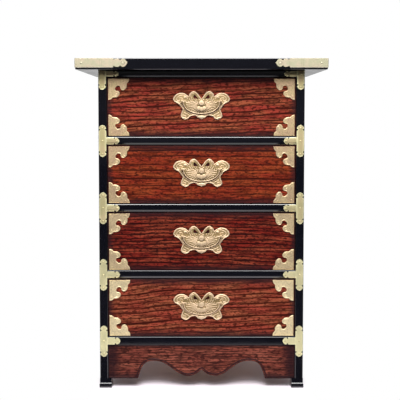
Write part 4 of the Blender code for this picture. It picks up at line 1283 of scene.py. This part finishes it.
STRIP_NAILS = mm(12, 85)  # from the corner
NAIL_WIDE, NAIL_LOW = mm(1.7, 0.5)

nail_edge = TOP_HIGH.xy + Vector((1, 1)) * (STRIP_GAP + STRIP_METAL)
strip_nails = bmesh.new()
for end_name, end in ENDS.items():
    for side_name, side in SIDES.items():
        corner_name = f"{end_name}_{side_name}"
        make_top_strap(f"top_strap_{corner_name}", f"top_corner_{corner_name}", side, end)
        for along in STRIP_NAILS:
            on_end = (side * (nail_edge.x - along), end * nail_edge.y, STRIP_LEVEL)
            add_dome(strip_nails, on_end, (NAIL_WIDE, NAIL_LOW, NAIL_WIDE), mark=0.3)
            on_side = (side * nail_edge.x, end * (nail_edge.y - along), STRIP_LEVEL)
            add_dome(strip_nails, on_side, (NAIL_LOW, NAIL_WIDE, NAIL_WIDE), mark=0.3)
add_piece("top_strap_nails", strip_nails, PALE_BRASS)
print("top straps:", len(ENDS) * len(SIDES))

# %% [markdown]
# ## Corner plates of the drawers
#
# Every drawer front has four scalloped plates. Along the inner edge two lobes curl round a small open
# pocket, the cloud shape of much Korean metalwork. The plate is the same on both sides of its diagonal,
# so only half of the outline is drawn. A bead along the rim and a curl in each lobe make the relief. One
# plate is made, and its copies are mirrored to the four corners.

# %% Corner plates
CORNER_TIP = [(38, 0), (37, 5), (33.6, 8.6)]
CORNER_LOBE = [(33.6, 8.6), (33, 15.6), (28.6, 20.4), (24, 20), (21.8, 16.8)]
CORNER_POCKET = [(21.8, 16.8), (21.2, 13.8), (17.6, 12.4), (14.4, 14.4)]
LOBE_MIDDLE = (28.4, 14.4)
PLATE_FRONT = FRONT_FACE - 0.8 * MM
PLATE_SOFT = 0.35 * MM
PLATE_RIM = 1.1  # from its edge to the bead along it
PLATE_BEAD = 0.5 * MM
CURL_BEAD = 0.42 * MM
PLATE_ASIDE = 2.1 * MM  # from the ends of the drawer front
PLATE_MARGIN = {"bottom": 0.8 * MM, "top": 1.4 * MM}  # from its lower and its upper edge
CORNER_NAILS = [(5.5, 5.5), (30.5, 4.2), (4.2, 30.5)]
SMALL_NAIL = mm(1.1, 0.6, 1.1)


def flipped(points):
    """Points mirrored about the diagonal."""
    return [(v, u) for u, v in points]


def make_corner_plate():
    """A plate in the corner where both edges run towards plus, before it is mirrored into place."""
    half = joined([CORNER_TIP, CORNER_LOBE, CORNER_POCKET], 5)
    scallop = half + flipped(reversed(half[:-1]))
    outline = [(0, 0), *reversed(scallop)]
    shape = plate([outline], FRONT_FACE, PLATE_FRONT, PLATE_SOFT)
    lobe = curl(LOBE_MIDDLE, start_radius=2.9, end_radius=0.7, start=math.radians(-60), turns=1.15)
    beads = [(on_plane(moved_in(outline, PLATE_RIM), PLATE_FRONT), PLATE_BEAD, True)]
    beads += [(on_plane(line, PLATE_FRONT), CURL_BEAD, False) for line in (lobe, flipped(lobe))]
    add_beads(shape, beads, mark=0.6)
    return shape


corner_pattern = make_corner_plate()
for n in DRAWERS:
    low, high = front_box(n)
    finish, body = PLATE_BRASS[n - 1], f"drawer_{n}"
    nails = bmesh.new()
    for side_name, side in SIDES.items():
        for level_name, rise in (("bottom", -1), ("top", 1)):
            corner_x = (low.x if side < 0 else high.x) - side * PLATE_ASIDE
            corner_z = (low.z if rise < 0 else high.z) - rise * PLATE_MARGIN[level_name]
            shape = corner_pattern.copy()
            bmesh.ops.scale(shape, vec=(-side, 1, -rise), verts=shape.verts)
            bmesh.ops.translate(shape, vec=(corner_x, 0, corner_z), verts=shape.verts)
            add_piece(f"drawer_{n}_corner_{level_name}_{side_name}", shape, finish, body=body)
            for u, v in CORNER_NAILS:
                place = (corner_x - side * u * MM, PLATE_FRONT, corner_z - rise * v * MM)
                add_dome(nails, place, SMALL_NAIL, 8, mark=0.2)
    add_piece(f"drawer_{n}_corner_nails", nails, finish, body=body)
corner_pattern.free()
print("corner plates:", 4 * len(DRAWERS))

# %% [markdown]
# ## Butterfly plates
#
# The handle of a drawer is a butterfly. Its back plate has the two upper wings, the antennae with a
# pierced gap beside each, two curled tails and a drop between them. It could be sculpted whole. Here it
# is made as the real one is, sawn first and then chased: the plate is cut from one outline with two
# holes, a raised rim runs round it, a second one follows the pull, and smaller beads draw the scrolls
# inside the wings. Two eyes stand out of it to carry the pull, and two rivets hold it behind the drawer
# front.

# %% Butterfly outline
ANTENNA = [(0, 11.9), (7.6, 22), (14.5, 25.8), (21.2, 21.4), (23.1, 16.3)]
WING = [(23.1, 16.3), (29.4, 20.9), (36.6, 22.6), (44.6, 20.6), (49.8, 15.4), (51, 10.8), (49, 6.8)]
WING_SIDE = [(49, 6.8), (45.4, 4.7), (40.4, 1.6), (33.7, -7.4)]
TAIL_CURL = [(33.7, -7.4), (36.8, -15), (37, -20.6), (30.4, -25.3), (24, -23.6), (20.8, -20)]
TAIL = [(20.8, -20), (16, -18.6), (11.4, -18.2), (6, -21.6), (0, -24.8)]
ANTENNA_GAP = [(14.2, 12.6), (14.8, 16.6), (12.4, 19.6), (5.4, 11.8)]
PULL_CREST = [(0, 9.2), (3.2, 11.4), (6.4, 9.8), (9.4, 8.8)]
PULL_TOP = [*PULL_CREST, (13, 10.4), (17, 8.4), (21.5, 10.4), (26, 8.6), (30, 9.4)]
PULL_EDGE = [(30, 9.4), (33, 5.6), (32.2, 0), (28, -6.2), (20, -11.4), (10, -14.4), (0, -15.4)]
butterfly_outline = both_halves(joined([ANTENNA, WING, WING_SIDE, TAIL_CURL, TAIL], 5))
half_pull = joined([PULL_TOP, PULL_EDGE], 5)
pull_outline = both_halves(half_pull)
print("outline points:", len(butterfly_outline), "on the plate,", len(pull_outline), "on the pull")

# %% Drawing on the butterfly
WING_SCROLL = [(25, 11.6), (28, 16.6), (34.5, 18.4), (41, 16.6), (44.8, 12.6)]
WING_SCROLL += [(43.4, 9), (39.6, 8.8), (38.6, 11.6)]
ANTENNA_LOBE = [(17.2, 13.2), (19.4, 17), (17.6, 21), (13.6, 22)]
TAIL_LINE = [(22, -17), (26, -15.4), (31.4, -12.4)]
SCROLL_LINE = [(33, 10.6), (36.4, 13.6), (40, 13.4)]
WING_HEM = [(36.6, 5.4), (40.4, 6), (45, 7.4)]
# Smooth lines by the radius of their beads.
WING_LINES = {0.8: [WING_SCROLL], 0.7: [ANTENNA_LOBE, TAIL_LINE], 0.6: [SCROLL_LINE, WING_HEM]}
PULL_HEM = 2.3  # from the edge of the pull to the bead that follows it
HEM_BEAD, TAIL_BEAD, STROKE_BEAD = 0.95, 0.75, 0.8
STROKES = 4  # that fan out above the pull


def wing_beads():
    """The drawing on the right half of the plate: points in millimetres and a radius."""
    hem = [(u, v) for u, v in moved_in(pull_outline, -PULL_HEM) if u > 4.2 and v < 4]
    tail = curl((30.6, -19.4), start_radius=4.0, end_radius=1.2, start=math.radians(70), turns=-1.2)
    strokes = [[(8.6 + 3.6 * k, 8.6), (10 + 4.2 * k, 12.4)] for k in range(STROKES)]
    beads = [(hem, HEM_BEAD), (tail, TAIL_BEAD), *((stroke, STROKE_BEAD) for stroke in strokes)]
    for radius, lines in WING_LINES.items():
        beads += [(smooth_run(line, 4), radius) for line in lines]
    return beads


def on_both_sides(paths, level):
    """Open beads on a plane, each with its mirror image."""
    beads = []
    for points, radius in paths:
        beads += [(on_plane(side, level), radius * MM, False) for side in (points, mirrored(points))]
    return beads


print("beads on a half:", len(wing_beads()))

# %% Eyes of the butterflies
BUTTERFLY_FACE = -141.9 * MM
PIVOT_Y = -147.9 * MM
EYE_INNER = 33.7 * MM
EYE_WIDTH = 3 * MM
EYE_RADIUS = 3 * MM
EYE_SOFT = 0.4 * MM
EYE_ROOT = 0.5 * MM  # how deep it goes into the plate
EYE_MIDDLE = EYE_INNER + EYE_WIDTH / 2


def add_eye(shape, side):
    """A round lug beside the pull, drawn back to the plate."""
    lug = bmesh.new()
    bmesh.ops.create_cone(
        lug, cap_ends=True, segments=20, radius1=EYE_RADIUS, radius2=EYE_RADIUS, depth=EYE_WIDTH
    )
    bmesh.ops.rotate(lug, verts=lug.verts, cent=(0, 0, 0), matrix=Matrix.Rotation(math.pi / 2, 3, "Y"))
    bmesh.ops.translate(lug, vec=(side * EYE_MIDDLE, PIVOT_Y, PIVOT_RISE * MM), verts=lug.verts)
    for vert in lug.verts:
        if vert.co.y > PIVOT_Y + MM:
            vert.co.y = BUTTERFLY_FACE + EYE_ROOT
    ease(lug, EYE_SOFT, 2, lambda mid, way: abs(way.x) < 0.5)
    mesh = bpy.data.meshes.new("eye")
    lug.to_mesh(mesh)
    lug.free()
    join(shape, mesh, mark=0.4)


print("eyes at", round(EYE_MIDDLE, 4), "m from the middle")

# %% Butterfly plates
BUTTERFLY_METAL = 1.6 * MM
BUTTERFLY_SOFT = 0.5 * MM
BUTTERFLY_RIM = 1.2  # radius of its rim, and how far that lies inside its edge
PULL_SHADOW_LINE = 0.8  # from the edge of the pull to the painted shadow line round it
SHADOW_LINE_BEAD = 0.6
DROP_HEIGHT = -20.4 * MM
DROP = mm(8, 1.1, 2.8)  # radii of the drop between the tails
# Places and radii of the bosses on wings and tails.
BOSSES = [((29.6, 14.6), (3, 1.2, 1.8)), ((31.4, -22.3), (3.4, 1.3, 1.5))]
FRONT_REAR = -125 * MM
RIVET = mm(4.5, 2.2, 4.5)


def make_butterfly():
    """The back plate about the middle of the butterfly."""
    loops = [butterfly_outline, ANTENNA_GAP, mirrored(ANTENNA_GAP)]
    shape = plate(loops, BUTTERFLY_FACE + BUTTERFLY_METAL, BUTTERFLY_FACE, BUTTERFLY_SOFT)
    rim = on_plane(moved_in(butterfly_outline, BUTTERFLY_RIM), BUTTERFLY_FACE)
    drawing = on_both_sides(wing_beads(), BUTTERFLY_FACE)
    add_beads(shape, [(rim, BUTTERFLY_RIM * MM, True), *drawing])
    # Painted shadow: a dark line round the pull's lower edge, where its rim shades the plate.
    pull_shadow = [(u, v) for u, v in moved_in(pull_outline, -PULL_SHADOW_LINE) if u > 0 and v < 6]
    add_beads(shape, on_both_sides([(pull_shadow, SHADOW_LINE_BEAD)], BUTTERFLY_FACE), sunk=0.6, mark=-0.8)
    add_dome(shape, (0, BUTTERFLY_FACE, DROP_HEIGHT), DROP, 18)
    for side in SIDES.values():
        for (u, v), radii in BOSSES:
            add_dome(shape, (side * u * MM, BUTTERFLY_FACE, v * MM), mm(*radii), 14)
        add_eye(shape, side)
        add_dome(shape, (side * EYE_MIDDLE, FRONT_REAR, PIVOT_RISE * MM), RIVET, 16)
    return shape


def hang(pattern, piece, body, node):
    """Puts a copy of a pattern at the butterfly of each drawer."""
    print(piece, "faces each:", len(pattern.faces))
    for n in DRAWERS:
        shape = pattern.copy()
        bmesh.ops.translate(shape, vec=(0, 0, butterfly_height(n)), verts=shape.verts)
        add_piece(f"drawer_{n}_{piece}", shape, CHASED_BRASS, f"drawer_{n}_{node}", f"{body}_{n}")
    pattern.free()


hang(make_butterfly(), "butterfly", "drawer", "handle_plate")

# %% [markdown]
# ## Half-moon pulls
#
# The pull hangs in front of the plate and has the lower wings and the body of the butterfly on it. It is
# a shallow dome. A part of a sphere would have a round edge, so the half-moon outline is drawn out in
# rings that shrink towards the crown. The veins are planned flat and then dropped on the dome by casting
# a ray at it, so they follow its swell. The head and an abdomen of three lobes stand out in front. Last,
# the whole pull is sheared, so that its lower edge leans back near the plate.

# %% Dome of the pulls
PULL_BACK = -146.9 * MM
PULL_RIM = 1.5 * MM
PULL_FACE = PULL_BACK - PULL_RIM
PULL_SOFT = 0.4 * MM
PULL_DOME = 0.9 * MM
PULL_CROWN = -1.0  # height of the crown
DOME_RINGS = 8


def make_half_moon():
    """The plain half-moon, domed towards the front, about the middle of the butterfly."""
    shape = plate([pull_outline], PULL_BACK, PULL_FACE, PULL_SOFT)
    faces = [f for f in shape.faces if all(abs(v.co.y - PULL_FACE) < 1e-7 for v in f.verts)]
    last = 1.0
    for ring in range(1, DOME_RINGS + 1):
        share = 1 - ring / (DOME_RINGS + 1)
        edges = list({e for f in faces for e in f.edges})
        verts, faces = draw_out(shape, faces + edges)
        for vert in verts:
            vert.co.x *= share / last
            vert.co.z = PULL_CROWN * MM + (vert.co.z - PULL_CROWN * MM) * share / last
            vert.co.y = PULL_FACE - PULL_DOME * (1 - share**2)
        last = share
    return shape


print("dome rings:", DOME_RINGS)

# %% Veins of the pulls
VEIN_ROOT = Vector((0, -0.5))
VEIN_SPACING = 5.4  # along the rim
VEIN_FIRST = 10.0  # from the middle of the pull's upper edge
VEIN_KNOTS = (0.25, 0.45, 0.66, 0.86)  # shares of the way from the root to the rim


def dropped(points, tree):
    """Points in millimetres dropped on a surface from the front."""
    placed = []
    for u, v in points:
        hit = tree.ray_cast(Vector((u * MM, -1, v * MM)), Vector((0, 1, 0)))[0]
        placed.append((u * MM, hit.y if hit else PULL_FACE, v * MM))
    return placed


def vein_paths(first):
    """Veins that fan out on both halves of the pull, to points spaced evenly along its rim."""
    paths = []
    gone = 0.0
    wanted = first
    for before, after in zip(half_pull, half_pull[1:]):
        start, end = Vector(before), Vector(after)
        step = (end - start).length
        while gone + step > wanted:
            way = start.lerp(end, (wanted - gone) / step) - VEIN_ROOT
            paths.append([(VEIN_ROOT + way * share).to_tuple() for share in VEIN_KNOTS])
            wanted += VEIN_SPACING
        gone += step
    return paths + [mirrored(path) for path in paths]


print("veins:", len(vein_paths(VEIN_FIRST)))

# %% Body of the butterflies
BODY_FACE = PULL_FACE - PULL_DOME
BODY_SWELL = 0.2  # slope of the head and the lobes
HEAD_HEIGHT = 4.6  # above the middle of the butterfly
HEAD_RADIUS = 4.7
HEAD_DEPTH = 0.6
COLLAR_GAP = 0.5  # from the head to the dark ring round it
COLLAR_BEAD = 0.7 * MM
SLIT_HEIGHT = 4.2
SLIT = mm(2.8, 0.3, 0.5)  # radii of the dark line across the head
ABDOMEN = [(-4.7, -5.2), (0, -6.4), (4.7, -5.2)]  # middles of its lobes
LOBE = mm(3.9, 0.7, 3.7)
CREST_ASIDE, CREST_HEIGHT = mm(3.4, 9.8)  # of the two small bosses above the head
CREST_BOSS = mm(1.7, 1.4, 1.6)


def lean_out(verts, top):
    """Draws a part forward, the more the lower down, so that it faces up and catches the light."""
    for vert in verts:
        vert.co.y -= BODY_SWELL * (top - vert.co.z)


def add_body(shape):
    """Head, abdomen and crest of the butterfly, which stand out of the pull."""
    collar = circle((0, HEAD_HEIGHT), HEAD_RADIUS + COLLAR_GAP, 24)
    add_beads(shape, [(on_plane(collar, BODY_FACE), COLLAR_BEAD, True)], mark=-0.2)
    radii = mm(HEAD_RADIUS, HEAD_DEPTH, HEAD_RADIUS)
    head = add_dome(shape, (0, BODY_FACE, HEAD_HEIGHT * MM), radii, 28, mark=0.85)
    head += add_dome(shape, (0, BODY_FACE - 0.5 * MM, SLIT_HEIGHT * MM), SLIT, 12, mark=-0.4)
    lean_out(head, (HEAD_HEIGHT + HEAD_RADIUS) * MM)
    for u, v in ABDOMEN:
        lobe = add_dome(shape, (u * MM, BODY_FACE, v * MM), LOBE, 24, mark=0.7)
        lean_out(lobe, v * MM + LOBE[2])
    for side in SIDES.values():
        add_dome(shape, (side * CREST_ASIDE, PULL_FACE, CREST_HEIGHT), CREST_BOSS, 14)


print("lobes of an abdomen:", len(ABDOMEN))

# %% Half-moon pulls
RIM_SHRINK = (0.97, 0.945)  # of the rim's bead against the edge, across and along the height
RIM_TOP = 7  # height at which that bead stops
RIM_BEAD, VEIN_BEAD, FURROW_BEAD = mm(0.9, 0.75, 0.8)
PULL_LEAN = 4 * MM  # of the lower edge, back towards the plate
PULL_LOWEST = min(v for u, v in PULL_EDGE)
PIN_ENDS = (27 * MM, EYE_INNER + EYE_WIDTH)
PIN_RADIUS = 0.9 * MM


def make_pull():
    """A pull about the middle of the butterfly, with the pins that it turns on."""
    shape = make_half_moon()
    tree = BVHTree.FromBMesh(shape)
    across, up = RIM_SHRINK
    rim = [(u * across, PULL_CROWN + (v - PULL_CROWN) * up) for u, v in pull_outline if v < RIM_TOP]
    add_beads(shape, [(dropped(rim, tree), RIM_BEAD, False)])
    veins = vein_paths(VEIN_FIRST)
    add_beads(shape, [(dropped(vein, tree), VEIN_BEAD, False) for vein in veins], sunk=0.6)
    furrows = vein_paths(VEIN_FIRST + VEIN_SPACING / 2)
    beads = [(dropped(furrow, tree), FURROW_BEAD, False) for furrow in furrows]
    add_beads(shape, beads, sunk=0.7, mark=-0.55)
    add_body(shape)
    for vert in shape.verts:
        vert.co.y += PULL_LEAN * (PIVOT_RISE * MM - vert.co.z) / (PIVOT_RISE * MM - PULL_LOWEST * MM)
    pins = [[(side * x, PIVOT_Y, PIVOT_RISE * MM) for x in PIN_ENDS] for side in SIDES.values()]
    add_beads(shape, [(pin, PIN_RADIUS, False) for pin in pins], sunk=0)
    return shape


hang(make_pull(), "half_moon", "pull", "pull")
